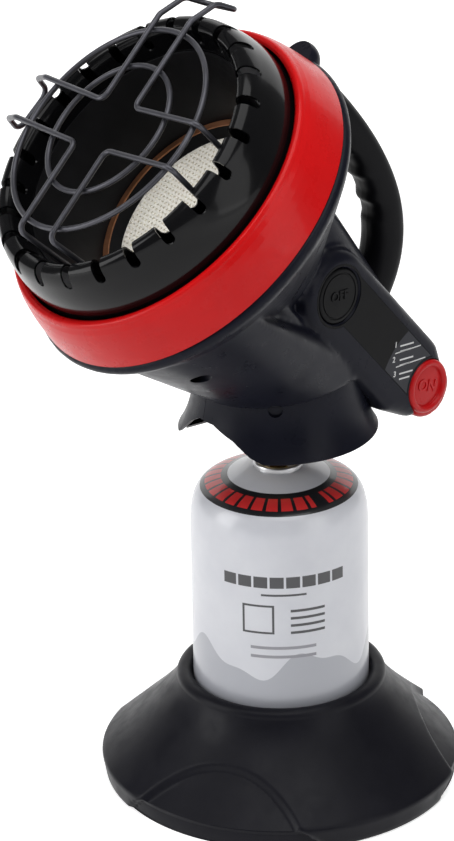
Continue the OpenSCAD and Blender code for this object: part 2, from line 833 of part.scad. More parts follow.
bezel_curve = concat([[bezel_skirt_r, bezel_rear_t]],
    bez([bezel_skirt_r, bezel_crest_t - 27], [bezel_skirt_r - 0.4, bezel_crest_t - 20],
        [bezel_slot_r + 1.2, bezel_crest_t - 14], [bezel_slot_r, bezel_crest_t - 9.7], 4),
    bez([bezel_slot_r - 0.4, bezel_crest_t - 8], [bezel_slot_r - 2.4, bezel_crest_t - 1.4],
        [bezel_crest_r + 2.6, bezel_crest_t], [bezel_crest_r, bezel_crest_t], 7),
    bez([bezel_crest_r - 1, bezel_crest_t], [bezel_inner_r + 1.6, bezel_crest_t],
        [bezel_inner_r + 0.2, bezel_crest_t - 1], [bezel_inner_r - 1, bezel_crest_t - 6], 5),
    [[bezel_inner_r - 2.5, bezel_crest_t - 13], [bezel_end_r, bezel_end_t]]);

module bezel() {
    color([0.04, 0.04, 0.05]) head() difference() {
        rotate_extrude() polygon(sheet_outline(bezel_curve, -bezel_wall));
        for (k = [0:slot_count - 1])
            rotate([0, 0, slot_turn + 360 * k / slot_count])
                translate([bezel_inner_r - 5, 0, slot_axis_t]) rotate([0, 90 - slot_rise, 0]) {
                    cylinder(d = slot_w, h = 24);
                    translate([-20, -slot_w / 2, 0]) cube([20, slot_w, 24]);
                }
    }
}

module reflector() {
    foot_t = ledge_t + 3 * sheet;
    color([0.12, 0.11, 0.11]) head() difference() {
        rotate_extrude() polygon([[reflector_foot_r, foot_t], [reflector_foot_r + 7, foot_t],
            [reflector_foot_r + 7, foot_t + sheet], [reflector_foot_r + sheet, foot_t + sheet],
            [reflector_foot_r + sheet, heat_ring_t + 1], [reflector_top_r, reflector_top_t],
            [reflector_top_r - sheet, reflector_top_t], [reflector_foot_r, heat_ring_t + 1]]);
        probe(lead_turn) cylinder(r = probe_r + seat_gap, h = 30, center = true);
        probe(pilot_turn) cylinder(r = pilot_r + seat_gap, h = 30, center = true);
        probe(spark_turn) cylinder(r = insulator_r + seat_gap, h = 30, center = true);
    }
}

// places children on a radial line through the reflector's wall, z outwards
module probe(turn) {
    rotate([0, 0, turn]) translate([probe_ring, 0, probe_t]) rotate([0, 90, 0]) children();
}

module burner_plenum() {
    color([0.60, 0.60, 0.60]) head() difference() {
        union() {
            translate([0, 0, plenum_back]) ring(plenum_r - sheet, plenum_r, ledge_t + sheet - plenum_back);
            translate([0, 0, plenum_back]) cylinder(r = plenum_r, h = sheet);
            translate([0, 0, ledge_t + sheet]) ring(plenum_r - sheet, reflector_foot_r + 7, sheet);
            translate([0, 0, gasket_t - sheet]) ring(plaque_r - 2, plenum_r - sheet / 2, sheet);
        }
        translate([0, 0, plenum_back - 1]) cylinder(r = mixer_r + seat_gap, h = 3);
    }
}

module mixer_tube() {
    color([0.62, 0.62, 0.62]) head() difference() {
        union() {
            translate([0, 0, mixer_back]) cylinder(r = mixer_r, h = plenum_back + 6 - mixer_back);
            translate([0, 0, plenum_back + sheet]) cylinder(r = mixer_r + 3, h = sheet);
        }
        translate([0, 0, mixer_back + sheet]) cylinder(r = mixer_r - sheet, h = 100);
        translate([0, 0, mixer_back - 1]) cylinder(r = jet_r + seat_gap, h = 4);
        for (k = [0:3]) rotate([0, 0, 45 + 90 * k]) translate([0, 0, mixer_back + 9])
            rotate([0, 90, 0]) cylinder(r = 4.5, h = mixer_r + 5);
    }
}

module gas_jet() {
    color([0.75, 0.60, 0.28]) head() difference() {
        union() {
            translate([0, 0, mixer_back - jet_len]) cylinder(r = jet_r + 2, h = jet_len);
            translate([0, 0, mixer_back - jet_len]) cylinder(r = jet_r, h = jet_len + 4);
        }
        translate([0, 0, mixer_back - jet_len - 1]) cylinder(r = tube_r + seat_gap, h = 6);
        translate([0, 0, mixer_back - jet_len]) cylinder(r = 0.6, h = 40, $fn = 16);
    }
}

// tube from the safety valve to the jet
module feed_tube() {
    back_t = mixer_back - jet_len;
    color([0.72, 0.45, 0.30]) head() wire(soften([[0, 0, back_t + 4.8], [0, 0, back_t - 8],
        panel_point(valve_x - 46, valve_y - 1, tube_z),
        panel_point(valve_x - valve_r - 0.4, valve_y, tube_z)], [0, 7, 9, 0], 5), tube_r, 12, [1, 0.2, 0]);
}

// tube from the regulator to the safety valve
module inlet_tube() {
    color([0.72, 0.45, 0.30]) wire(soften([[0, reg_r - 3, fit_top + reg_h / 2],
        [0, reg_r + 9, fit_top + reg_h / 2], head_point(panel_point(valve_x - 40, valve_y - 4.6, tube_z - 7)),
        head_point(panel_point(valve_x - valve_r - 0.4, valve_y, tube_z - 9))],
        [0, 7, 8, 0], 5), tube_r, 12, [1, 0.3, 0]);
}

// a point of the panel's frame in the head's, and a point of the head's in the object's
function panel_point(x, y, z) = let (a = panel_tilt, b = 90 + panel_taper)
    [panel_x, panel_y, panel_t] + x * [cos(a) * cos(b), sin(a) * cos(b), -sin(b)]
    + y * [-sin(a), cos(a), 0] + z * [cos(a) * sin(b), sin(a) * sin(b), cos(b)];
function head_point(p) = let (c = cos(90 - head_rise), s = sin(90 - head_rise))
    [p[0], p[1] * c - p[2] * s, head_z + p[1] * s + p[2] * c];

module ceramic_plaque() {
    face_r = plaque_r + 2.7;
    color([0.82, 0.77, 0.68]) head() difference() {
        translate([0, 0, plaque_face_t - plaque_t]) cylinder(r = face_r, h = plaque_t);
        for (k = [0:plaque_rings - 1]) translate([0, 0, plaque_face_t - 1.5])
            ring(6 + 8.6 * k, 9 + 8.6 * k, 4);
    }
}

module plaque_gasket() {
    color([0.85, 0.85, 0.82]) head() {
        translate([0, 0, gasket_t]) ring(plaque_r + 2.8, plenum_r - sheet - seat_gap, 11);
        translate([0, 0, gasket_t]) ring(plaque_r, plaque_r + 2.8, plaque_face_t - plaque_t - gasket_t);
    }
}

module plaque_frame() {
    low = ledge_t + 2 * sheet;
    outer = heat_ring_r + heat_ring_w + 0.4;
    color([0.35, 0.33, 0.31]) head() rotate_extrude() polygon([[outer - sheet, low],
        [reflector_foot_r + 7, low], [reflector_foot_r + 7, low + sheet], [outer, low + sheet],
        [outer, heat_ring_t], [heat_ring_r, heat_ring_t], [plaque_r, plaque_face_t],
        [plaque_r + 3, plaque_face_t], [heat_ring_r + 1.2, heat_ring_t - sheet],
        [outer - sheet, heat_ring_t - sheet]]);
}

module heat_ring() {
    color([0.62, 0.36, 0.22]) head() translate([0, 0, heat_ring_t])
        ring(heat_ring_r, heat_ring_r + heat_ring_w, sheet);
}

module electrode_insulator() {
    color([0.90, 0.88, 0.84]) head() probe(spark_turn) difference() {
        translate([0, 0, -6]) cylinder(r = insulator_r, h = 18);
        translate([0, 0, -7]) cylinder(r = spark_r + seat_gap, h = 30);
    }
}

module electrode() {
    color([0.60, 0.60, 0.62]) head() probe(spark_turn) translate([0, 0, -16]) cylinder(r = spark_r, h = 30);
}

module pilot_burner() {
    color([0.70, 0.56, 0.30]) head() probe(pilot_turn) difference() {
        translate([0, 0, -9]) cylinder(r = pilot_r, h = 18);
        translate([0, 0, -8]) cylinder(r = pilot_r - 1, h = 20);
        translate([0, 0, -10]) cylinder(r = 1, h = 5);
    }
}

module thermocouple() {
    color([0.72, 0.60, 0.40]) head()
        probe(lead_turn) translate([0, 0, -16]) cylinder(r = probe_r, h = 24);
}

module thermocouple_lead() {
    color([0.72, 0.45, 0.30]) head()
        wire(soften([polar(probe_ring + 8, lead_turn, probe_t), polar(lead_ring, lead_turn, probe_t),
            polar(lead_ring, lead_turn, lead_bend_t), polar(lead_step_r, lead_turn, lead_step_t),
            [core_r - 6, -core_low - 21, cone_t + 1], panel_point(valve_x - 42, valve_y + 10, tube_z + 4),
            panel_point(valve_x - valve_r - 0.2, valve_y + 3, tube_z - 4.5)], [0, 3.5, 6, 6, 9, 9, 0], 5),
            lead_r, 8, [0.2, 1, 0.1]);
}

module igniter_lead() {
    color([0.5, 0.1, 0.1]) head() wire(soften([polar(probe_ring + 16, spark_turn, probe_t),
        polar(lead_ring, spark_turn + 6, probe_t + 12), polar(lead_ring, coil_turn - 6, probe_t + 12),
        polar(lead_ring, coil_turn, probe_t), polar(lead_ring, coil_turn, lead_bend_t),
        polar(lead_step_r, coil_turn, lead_step_t), [core_r - 12, -core_low - 7, cone_t + 5],
        panel_point(valve_x - 42, piezo_y, tube_z - 2),
        panel_point(valve_x - piezo_r - 0.3, piezo_y, tube_z - 4)], [0, 4, 4, 4, 6, 6, 9, 9, 0], 5),
        lead_r, 8, [0.2, 1, 0.1]);
}

function polar(r, a, t) = [r * cos(a), r * sin(a), t];

// ---- controls ----

module safety_valve() {
    color([0.75, 0.60, 0.28]) panel() translate([valve_x, valve_y, bay_bottom]) difference() {
        cylinder(r = valve_r, h = valve_top - bay_bottom);
        translate([0, 0, valve_top - bay_bottom - 14]) cylinder(r = plunger_r + run_gap, h = 20);
    }
}

module piezo_igniter() {
    color([0.15, 0.15, 0.16]) panel() translate([valve_x, piezo_y, bay_bottom]) difference() {
        cylinder(r = piezo_r, h = valve_top - bay_bottom);
        translate([0, 0, valve_top - bay_bottom - 14]) cylinder(r = plunger_r + run_gap, h = 20);
    }
}

module plunger(at_y) {
    panel() translate([valve_x, at_y, valve_top - 6])
        cylinder(r = plunger_r, h = -button_top - valve_top + 6);
}

module valve_plunger() {
    color([0.78, 0.78, 0.78]) plunger(valve_y);
}

module igniter_plunger() {
    color([0.12, 0.12, 0.12]) plunger(piezo_y);
}

module on_spring() {
    h = -button_top - valve_top;
    color([0.6, 0.6, 0.62]) panel() translate([valve_x, valve_y, valve_top + 0.6])
        wire(coil_path(plunger_r + 1.6, h - 1.2, 6, 10), 0.5, 6, [0, 0, 1]);
}

module on_button() {
    color([0.78, 0.08, 0.09]) panel() translate([button_pitch, button_shift, 0]) difference() {
        union() {
            translate([0, 0, -on_h]) linear_extrude(height = on_h) on_outline(0);
            translate([0, 0, -0.8]) rotate_extrude() translate([rim_r, 0]) circle(r = 2.3);
        }
        translate([0, 0, -on_h - 1]) cylinder(r = on_r - 2, h = on_h + 1 - button_top);
        translate([0, 0, -0.8]) cylinder(r = rim_r - 1.6, h = 4);
    }
}

module off_button() {
    color([0.07, 0.07, 0.08]) panel() difference() {
        union() {
            translate([0, 0, off_travel - off_deep + 0.4])
                cylinder(r = off_r, h = off_deep - off_travel - 0.4 + off_proud);
            translate([0, 0, vent_top - 6]) cylinder(r = plunger_r - 0.5, h = 16);
        }
        translate([0, 0, off_travel - off_deep]) ring(plunger_r - 0.5, off_r - 2, 4);
        translate([0, 0, off_proud - 0.6]) ring(off_r - 3.4, off_r - 2.4, 1);
    }
}

module off_spring() {
    h = -vent_top + off_travel - off_deep + 4;
    color([0.6, 0.6, 0.62]) panel() translate([0, 0, vent_top + 0.5])
        wire(coil_path(plunger_r + 1.4, h - 1, 3, 10), 0.45, 6, [0, 0, 1]);
}

module vent_valve() {
    color([0.75, 0.60, 0.28]) panel() translate([0, 0, vent_bottom]) difference() {
        cylinder(r = vent_r, h = vent_top - vent_bottom);
        translate([0, 0, 3]) cylinder(r = plunger_r - 0.5 + run_gap, h = 20);
    }
}

module panel_plate() {
    color([0.05, 0.05, 0.05]) panel() translate([0, 0, -label_t])
        linear_extrude(height = label_t) label_outline(0);
}

// ---- handle ----

function grip_line(n) = bez(grip_path[0], grip_path[1], grip_path[2], grip_path[3], n);
function grip_bulge(u) = u < grip_from || u > grip_to ? 0
    : finger_d * (1 - cos(360 * finger_count * (u - grip_from) / (grip_to - grip_from))) / 2;
function grip_ring(c, t, inner) = [for (k = [0:14]) let (a = -90 + 180 * k / 14,
    s = sin(a), w = handle_w / 2 * pow(cos(a), 0.75),
    h = (s < 0 ? handle_t / 2 - inner : handle_t / 2) * sign(s) * pow(abs(s), 0.8))
    [max(w, 0), c[0] - t[1] * h, c[1] + t[0] * h]];

module grip_half() {
    line = grip_line(36);
    head() loft([for (i = [0:36]) grip_ring(line[i], tangent(line, i), grip_bulge(i / 36))]);
}

module handle_cuts() {
    cone(0);
    core(0);
    lug();
    head() translate([0, 0, grip_end_t]) cylinder(r = bead_r + handle_t, h = 60);
    head() grip_bores();
}

module grip_bores() {
    for (p = grip_screws) {
        translate([4, p[0], p[1]]) rotate([0, 90, 0]) cylinder(r = recess_r - 0.5, h = 60);
        translate([-8, p[0], p[1]]) rotate([0, 90, 0]) cylinder(r = screw_r + seat_gap, h = 30);
    }
}

module handle_right() {
    color([0.05, 0.05, 0.06]) difference() {
        grip_half();
        handle_cuts();
    }
}

module handle_left() {
    color([0.05, 0.05, 0.06]) difference() {
        mirror([1, 0, 0]) grip_half();
        handle_cuts();
    }
}

module handle_screws() {
    head() for (p = grip_screws) screw([4, p[0], p[1]], 11);
}

// ---- wire guard ----

module guard_rings() {
    color([0.32, 0.32, 0.35]) head()
        for (r = [guard_ring_a, guard_ring_b]) translate([0, guard_shift, guard_t - wire_d - 0.02])
            rotate_extrude() translate([r, 0]) circle(d = wire_d);
}

// bend of the guard's wire next to the head's axis, a quarter turn for each k
function guard_bend(k) = let (a = guard_turn + 45 + 90 * k)
    [guard_half * sqrt(2) * cos(a), guard_half * sqrt(2) * sin(a) + guard_shift];
// point at radius r and distance t on the straight wire that leaves c in direction a
function guard_leg(c, a, r, t) = let (d = [cos(a), sin(a)], m = c * d)
    concat(c + d * (sqrt(m * m + r * r - c * c) - m), [t]);
function guard_end(c, a) = [guard_leg(c, a, leg_end_r, leg_end_t), guard_leg(c, a, leg_knee, guard_t)];
function guard_hook(c, a) = [guard_leg(c, a, guard_knee, guard_t),
    guard_leg(c, a, hook_shoulder_r, hook_shoulder_t), guard_leg(c, a, hook_r, hook_t)];

module guard_wires() {
    right = guard_turn;
    up = guard_turn + 90;
    left = guard_turn - guard_lag + 180;
    down = guard_turn + 270;
    bends = [for (k = [0:3]) guard_bend(k)];
    long = concat(guard_end(bends[0], right), [concat(bends[0], [guard_t])],
        guard_hook(bends[0], up), back(guard_hook(bends[1], up)), [concat(bends[1], [guard_t])],
        guard_hook(bends[1], left), back(guard_hook(bends[2], left)), [concat(bends[2], [guard_t])],
        back(guard_end(bends[2], down)));
    short = concat(guard_end(bends[3], right), [concat(bends[3], [guard_t])],
        back(guard_end(bends[3], down)));
    color([0.32, 0.32, 0.35]) head() {
        wire(soften(long, [0, 5, 7, 8, 5, 7, 7, 5, 8, 7, 8, 5, 7, 7, 5, 8, 7, 5, 0], 5),
            wire_d / 2, 8, [1, 0.9, 1.1]);
        wire(soften(short, [0, 5, 7, 5, 0], 5), wire_d / 2, 8, [1, 0.9, 1.1]);
    }
}

foot();
cartridge_can();
valve_cup();
cartridge_valve();
valve_stem();
inlet_fitting();
inlet_seal();
valve_pin();
regulator_body();
regulator_diaphragm();
regulator_spring();
regulator_bonnet();
housing_left();
housing_right();
housing_screws();
trim_ring();
shroud_pan();
bezel();
reflector();
burner_plenum();
mixer_tube();
gas_jet();
feed_tube();
inlet_tube();
ceramic_plaque();
plaque_gasket();
plaque_frame();
heat_ring();
electrode();
electrode_insulator();
igniter_lead();
pilot_burner();
thermocouple();
thermocouple_lead();
safety_valve();
valve_plunger();
on_spring();
piezo_igniter();
igniter_plunger();
on_button();
off_button();
off_spring();
vent_valve();
panel_plate();
tip_switch();
handle_left();
handle_right();
handle_screws();
guard_rings();
guard_wires();
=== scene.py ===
import json
import math

import bmesh
import bpy
from mathutils import Matrix, Vector


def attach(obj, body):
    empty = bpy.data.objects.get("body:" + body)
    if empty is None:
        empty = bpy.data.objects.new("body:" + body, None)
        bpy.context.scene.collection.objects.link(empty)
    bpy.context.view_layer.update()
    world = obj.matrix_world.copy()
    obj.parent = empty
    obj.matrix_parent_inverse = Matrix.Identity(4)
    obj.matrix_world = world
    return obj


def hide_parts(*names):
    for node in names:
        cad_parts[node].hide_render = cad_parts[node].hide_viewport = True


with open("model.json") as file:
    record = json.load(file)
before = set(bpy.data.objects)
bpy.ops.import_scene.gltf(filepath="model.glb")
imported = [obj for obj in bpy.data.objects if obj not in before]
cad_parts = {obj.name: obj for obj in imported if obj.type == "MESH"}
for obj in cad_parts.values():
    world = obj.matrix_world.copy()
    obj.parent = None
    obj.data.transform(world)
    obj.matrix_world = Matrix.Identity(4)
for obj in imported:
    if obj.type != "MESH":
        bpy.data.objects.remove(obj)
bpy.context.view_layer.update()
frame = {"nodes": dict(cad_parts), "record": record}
MM = 0.001
MERGE = 0.000001

# ---- sizes, mm and degrees

HEAD_Z, HEAD_RISE = 321.0, 47.4
PANEL_AT, PANEL_TILT, PANEL_TAPER = (50.0, 15.5, -0.9), 10.0, 8.0
ON_AT = (112.5, 3.0)

# the head looks along +z of its own frame, and the panel's z stands out of the control panel
to_head = Matrix.Translation((0, 0, HEAD_Z)) @ Matrix.Rotation(math.radians(90 - HEAD_RISE), 4, "X")
to_panel = (to_head @ Matrix.Translation(PANEL_AT) @ Matrix.Rotation(math.radians(PANEL_TILT), 4, "Z")
            @ Matrix.Rotation(math.radians(90 + PANEL_TAPER), 4, "Y"))
to_object = Matrix.Identity(4)

# ---- materials


def link(tree, a, b):
    tree.links.new(a, b)


def feed(tree, value, socket):
    """Links a socket, or sets it to a plain value."""
    if isinstance(value, bpy.types.NodeSocket):
        link(tree, value, socket)
    else:
        socket.default_value = value


def feed_all(tree, node, values):
    for key, v in values.items():
        feed(tree, v, node.inputs[key])


def wire_up(tree, kind, links=None, **settings):
    """A node with its properties set and its inputs linked or given."""
    n = tree.nodes.new(kind)
    for k, v in settings.items():
        setattr(n, k, v)
    feed_all(tree, n, links or {})
    return n


def sum_of(tree, op, *terms):
    """One arithmetic step between sockets or numbers."""
    return wire_up(tree, "ShaderNodeMath", dict(enumerate(terms)), operation=op).outputs[0]


def noise_of(tree, coords, scale, detail=3.0, rough=0.55):
    return wire_up(tree, "ShaderNodeTexNoise", {"Vector": coords, "Scale": scale, "Detail": detail,
                   "Roughness": rough}).outputs["Fac"]


def ramp_of(tree, value, low, high):
    return wire_up(tree, "ShaderNodeMapRange", {"Value": value, "From Min": 0.3, "From Max": 0.7,
                   "To Min": low, "To Max": high}).outputs["Result"]


def mix_of(tree, value, dark, light):
    m = wire_up(tree, "ShaderNodeMix", {"Factor": value}, data_type="RGBA")
    for name, c in (("A", dark), ("B", light)):
        s = [i for i in m.inputs if i.name == name and i.type == "RGBA"][0]
        feed(tree, c if isinstance(c, bpy.types.NodeSocket) else (*c, 1.0), s)
    return [o for o in m.outputs if o.type == "RGBA"][0]


def bump_of(tree, value, strength, depth):
    return wire_up(tree, "ShaderNodeBump", {"Height": value, "Strength": strength,
                   "Distance": depth}).outputs["Normal"]


def new_material(name):
    m = bpy.data.materials.new(name)
    m.use_nodes = True
    tree = m.node_tree
    shader = tree.nodes["Principled BSDF"]
    coords = tree.nodes.new("ShaderNodeTexCoord").outputs["Object"]
    return m, tree, shader, coords


def finish_of(name, colour, rough, metal=0.0, vary=0.18, blotch=30.0, grain=900.0, grain_depth=0.00006,
              grain_strength=0.25, rough_vary=0.08, coat=0.0, specular=0.5, dust=None):
    """A moulded, painted or metal surface with uneven colour, gloss and grain."""
    m, tree, shader, coords = new_material(name)
    broad = noise_of(tree, coords, blotch, 4.0)
    dark = tuple(c * (1 - vary) for c in colour)
    light = tuple(min(c * (1 + vary), 1.0) for c in colour)
    tint = mix_of(tree, ramp_of(tree, broad, 0.0, 1.0), dark, light)
    if dust:
        speck = noise_of(tree, coords, 260.0, 6.0, 0.7)
        tint = mix_of(tree, ramp_of(tree, speck, 0.0, dust[1]), tint, dust[0])
    gloss = noise_of(tree, coords, blotch * 2.6, 5.0, 0.6)
    fine = noise_of(tree, coords, grain, 2.0)
    feed_all(tree, shader, {
        "Base Color": tint, "Metallic": metal, "Specular IOR Level": specular,
        "Roughness": ramp_of(tree, gloss, max(rough - rough_vary, 0.02), rough + rough_vary),
        "Normal": bump_of(tree, fine, grain_strength, grain_depth),
        "Coat Weight": coat, "Coat Roughness": 0.06})
    return m


def can_label(name):
    """Pale printed tin: a black shoulder band with red bars, plain dark bars and a grey wave below."""
    m, tree, shader, coords = new_material(name)

    def times(a, b):
        return sum_of(tree, "MULTIPLY", a, b)

    def plus(a, b):
        return sum_of(tree, "ADD", a, b)

    def within(value, low, high):
        return times(sum_of(tree, "GREATER_THAN", value, low), sum_of(tree, "LESS_THAN", value, high))

    def block(left, right, low, high):
        return times(within(along, left, right), within(z, low, high))

    axes = tree.nodes.new("ShaderNodeSeparateXYZ")
    link(tree, coords, axes.inputs[0])
    x, y, z = (times(axes.outputs[k], 1 / MM) for k in range(3))
    reach = sum_of(tree, "SQRT", plus(times(x, x), times(y, y)))
    turn = plus(sum_of(tree, "ARCTAN2", y, x), math.radians(33.0))
    along = times(turn, 55.0)

    shoulder = times(within(reach, 31.5, 48.6), sum_of(tree, "GREATER_THAN", z, 175.0))
    bars = times(within(reach, 35.6, 45.6), within(sum_of(tree, "FRACT", times(turn, 4.8)), 0.12, 0.88))
    off_middle = sum_of(tree, "ABSOLUTE", sum_of(tree, "SUBTRACT", turn, 0.62))
    bars = times(bars, sum_of(tree, "GREATER_THAN", off_middle, 0.10))

    squares = sum_of(tree, "FRACT", times(plus(along, 38.0), 0.1))
    inks = times(block(-38.0, 42.0, 149.0, 156.5), sum_of(tree, "GREATER_THAN", squares, 0.14))
    inks = sum_of(tree, "MAXIMUM", inks, block(-12.0, 16.0, 143.6, 145.0))
    border = sum_of(tree, "SUBTRACT", block(-24.0, -4.0, 118.0, 137.5), block(-22.6, -5.4, 119.4, 136.1))
    inks = sum_of(tree, "MAXIMUM", inks, border)
    beat = sum_of(tree, "FRACT", times(sum_of(tree, "SUBTRACT", z, 118.0), 1 / 4.9))
    rows = times(sum_of(tree, "LESS_THAN", beat, 0.36), block(6.0, 28.0, 118.0, 137.4))
    inks = sum_of(tree, "MAXIMUM", inks, rows)
    greys = sum_of(tree, "MAXIMUM", block(-19.0, 22.0, 107.5, 109.5), block(-19.0, 22.0, 101.5, 103.5))

    swell = plus(times(sum_of(tree, "SINE", times(along, 0.085)), 8.0),
                 times(sum_of(tree, "SINE", times(along, 0.19)), 3.0))
    wave = sum_of(tree, "LESS_THAN", z, plus(swell, 95.0))
    side = sum_of(tree, "LESS_THAN", z, 164.0)
    cloud = ramp_of(tree, noise_of(tree, coords, 26.0, 4.0), 0.0, 1.0)
    tint = mix_of(tree, cloud, (0.60, 0.61, 0.66), (0.68, 0.69, 0.73))
    for where, ink in ((times(wave, side), (0.40, 0.41, 0.45)), (times(greys, side), (0.26, 0.26, 0.29)),
                       (times(inks, side), (0.03, 0.03, 0.035)), (shoulder, (0.012, 0.012, 0.014)),
                       (times(shoulder, bars), (0.62, 0.03, 0.03))):
        tint = mix_of(tree, where, tint, ink)
    fine = noise_of(tree, coords, 700.0, 2.0)
    feed_all(tree, shader, {"Base Color": tint, "Normal": bump_of(tree, fine, 0.1, 0.00005),
                            "Roughness": 0.30, "Coat Weight": 0.35, "Coat Roughness": 0.08})
    return m


FINISHES = {
    "moulded_black": dict(colour=(0.0070, 0.0075, 0.0130), rough=0.32, vary=0.12, grain=1400.0,
                          specular=0.085, dust=((0.012, 0.012, 0.022), 0.12)),
    "foot_black": dict(colour=(0.0060, 0.0060, 0.0090), rough=0.40, vary=0.12, grain=1500.0, specular=0.12,
                       dust=((0.016, 0.016, 0.024), 0.12)),
    "grip_black": dict(colour=(0.0040, 0.0040, 0.0050), rough=0.44, vary=0.15, grain=1200.0,
                       grain_depth=0.0001, specular=0.08),
    "red_paint": dict(colour=(0.56, 0.004, 0.005), rough=0.30, vary=0.05, coat=0.10, specular=0.14,
                      grain=260.0, grain_depth=0.0001, grain_strength=0.08),
    "black_enamel": dict(colour=(0.003, 0.003, 0.0035), rough=0.16, vary=0.2, coat=0.12, specular=0.12,
                         grain=240.0, grain_depth=0.0001, grain_strength=0.10, rough_vary=0.04),
    "dark_steel": dict(colour=(0.009, 0.009, 0.010), rough=0.38, metal=0.1, vary=0.25, blotch=55.0,
                       specular=0.1),
    "guard_steel": dict(colour=(0.055, 0.055, 0.065), rough=0.36, metal=0.6, vary=0.2, blotch=80.0),
    "bare_steel": dict(colour=(0.55, 0.55, 0.56), rough=0.33, metal=1.0, vary=0.1),
    "bronze": dict(colour=(0.30, 0.13, 0.065), rough=0.38, metal=0.85, vary=0.3, blotch=70.0),
    "brass": dict(colour=(0.66, 0.47, 0.20), rough=0.30, metal=1.0, vary=0.12),
    "copper": dict(colour=(0.62, 0.30, 0.17), rough=0.32, metal=1.0, vary=0.15),
    "tile": dict(colour=(0.98, 0.93, 0.84), rough=0.8, vary=0.05, blotch=60.0, grain_depth=0.0002),
    "glaze": dict(colour=(0.86, 0.84, 0.80), rough=0.2, vary=0.04),
    "rubber": dict(colour=(0.015, 0.015, 0.015), rough=0.7, vary=0.15),
    "zinc": dict(colour=(0.52, 0.53, 0.54), rough=0.42, metal=1.0, vary=0.12, grain_depth=0.00015),
    "red_plastic": dict(colour=(0.46, 0.005, 0.007), rough=0.34, vary=0.08, coat=0.08, specular=0.16),
    "black_plastic": dict(colour=(0.004, 0.004, 0.0045), rough=0.42, vary=0.12, grain=1500.0, specular=0.08),
    "fibre": dict(colour=(0.76, 0.75, 0.70), rough=0.9, vary=0.08, grain_depth=0.0003),
    "insulation": dict(colour=(0.30, 0.02, 0.02), rough=0.4, vary=0.1),
    "label_black": dict(colour=(0.0035, 0.0035, 0.004), rough=0.36, vary=0.1, grain=1500.0, specular=0.07),
    "label_grey": dict(colour=(0.030, 0.031, 0.037), rough=0.36, vary=0.06, grain=1500.0, specular=0.12),
    "print_white": dict(colour=(0.62, 0.62, 0.62), rough=0.5, vary=0.04),
}

finishes = {name: finish_of(name, **look) for name, look in FINISHES.items()}
finishes["tinplate"] = can_label("tinplate")

node_finish = {s["node"]: s["material_slot"] for s in frame["record"]["subparts"]}
node_finish["foot"] = "foot_black"
node_finish["guard_rings"] = "guard_steel"
node_finish["guard_wires"] = "guard_steel"
for node, obj in frame["nodes"].items():
    if not obj.material_slots:
        obj.data.materials.append(finishes[node_finish[node]])
    for place in obj.material_slots:
        place.material = finishes[node_finish[node]]

# ---- shape helpers


def bezier(a, b, c, d, n):
    """Points along a cubic curve with these four handles."""
    out = []
    for i in range(n + 1):
        t = i / n
        s = 1 - t
        out.append(tuple(s**3 * p + 3 * s * s * t * q + 3 * s * t * t * r + t**3 * w
                         for p, q, r, w in zip(a, b, c, d)))
    return out


def arc(cx, cy, r, a0, a1, n):
    """Points along a circle from one angle to another, in degrees."""
    turns = [math.radians(a0 + (a1 - a0) * i / n) for i in range(n + 1)]
    return [(cx + r * math.cos(a), cy + r * math.sin(a)) for a in turns]


def circle(r, n):
    return [(r * math.cos(math.tau * i / n), r * math.sin(math.tau * i / n)) for i in range(n)]


def way_at(line, i):
    """Direction of a line of points at one of them."""
    p, q = line[max(i - 1, 0)], line[min(i + 1, len(line) - 1)]
    u, v = q[0] - p[0], q[1] - p[1]
    size = math.hypot(u, v) or 1.0
    return u / size, v / size


def smoothstep(x):
    x = min(max(x, 0.0), 1.0)
    return x * x * (3 - 2 * x)


def object_of(name, data):
    obj = bpy.data.objects.new(name, data)
    bpy.context.collection.objects.link(obj)
    return obj


def mesh_of(name, bm):
    mesh = bpy.data.meshes.new(name)
    bm.to_mesh(mesh)
    bm.free()
    return mesh


def shade_by_angle(obj, degrees):
    """Smooth shading that keeps edges sharper than the angle."""
    bm = bmesh.new()
    bm.from_mesh(obj.data)
    limit = math.radians(degrees)
    for f in bm.faces:
        f.smooth = True
    for e in bm.edges:
        e.smooth = len(e.link_faces) == 2 and e.calc_face_angle(0.0) < limit
    bm.to_mesh(obj.data)
    bm.free()


def loft(rings, around=False):
    """Points and faces of a skin over closed rings, joined round or closed at both ends."""
    n, m = len(rings[0]), len(rings)
    pairs = [(j, (j + 1) % m) for j in range(m if around else m - 1)]
    faces = [(a * n + i, a * n + (i + 1) % n, b * n + (i + 1) % n, b * n + i)
             for a, b in pairs for i in range(n)]
    if not around:
        faces += [tuple(range(n)), tuple(range((m - 1) * n, m * n))]
    return [p for ring in rings for p in ring], faces


def skin_bmesh(verts, faces, place, merge=0.0):
    """A closed skin from points in millimetres, as a bmesh in metres."""
    bm = bmesh.new()
    vs = [bm.verts.new((place @ Vector(v)) * MM) for v in verts]
    for f in faces:
        bm.faces.new([vs[i] for i in f])
    if merge:
        bmesh.ops.remove_doubles(bm, verts=bm.verts, dist=merge)
        bmesh.ops.dissolve_degenerate(bm, edges=bm.edges, dist=merge)
    bmesh.ops.recalc_face_normals(bm, faces=bm.faces)
    return bm


def piece(name, verts, faces, finish, body="heater", place=to_object, nodes=(), angle=35.0):
    """A closed mesh from points in millimetres, cleaned and kept as a piece."""
    return keep_piece(name, mesh_of(name, skin_bmesh(verts, faces, place, MERGE)), finish, body, nodes,
                      angle)


def keep_piece(name, mesh, finish, body="heater", nodes=(), angle=32.0):
    """Gives a mesh its finish and shading, lets it ride on a body and hides the nodes it replaces."""
    obj = object_of(name, mesh)
    mesh.materials.clear()
    mesh.materials.append(finishes[finish])
    shade_by_angle(obj, angle)
    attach(obj, body)
    if nodes:
        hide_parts(*nodes)
    return obj


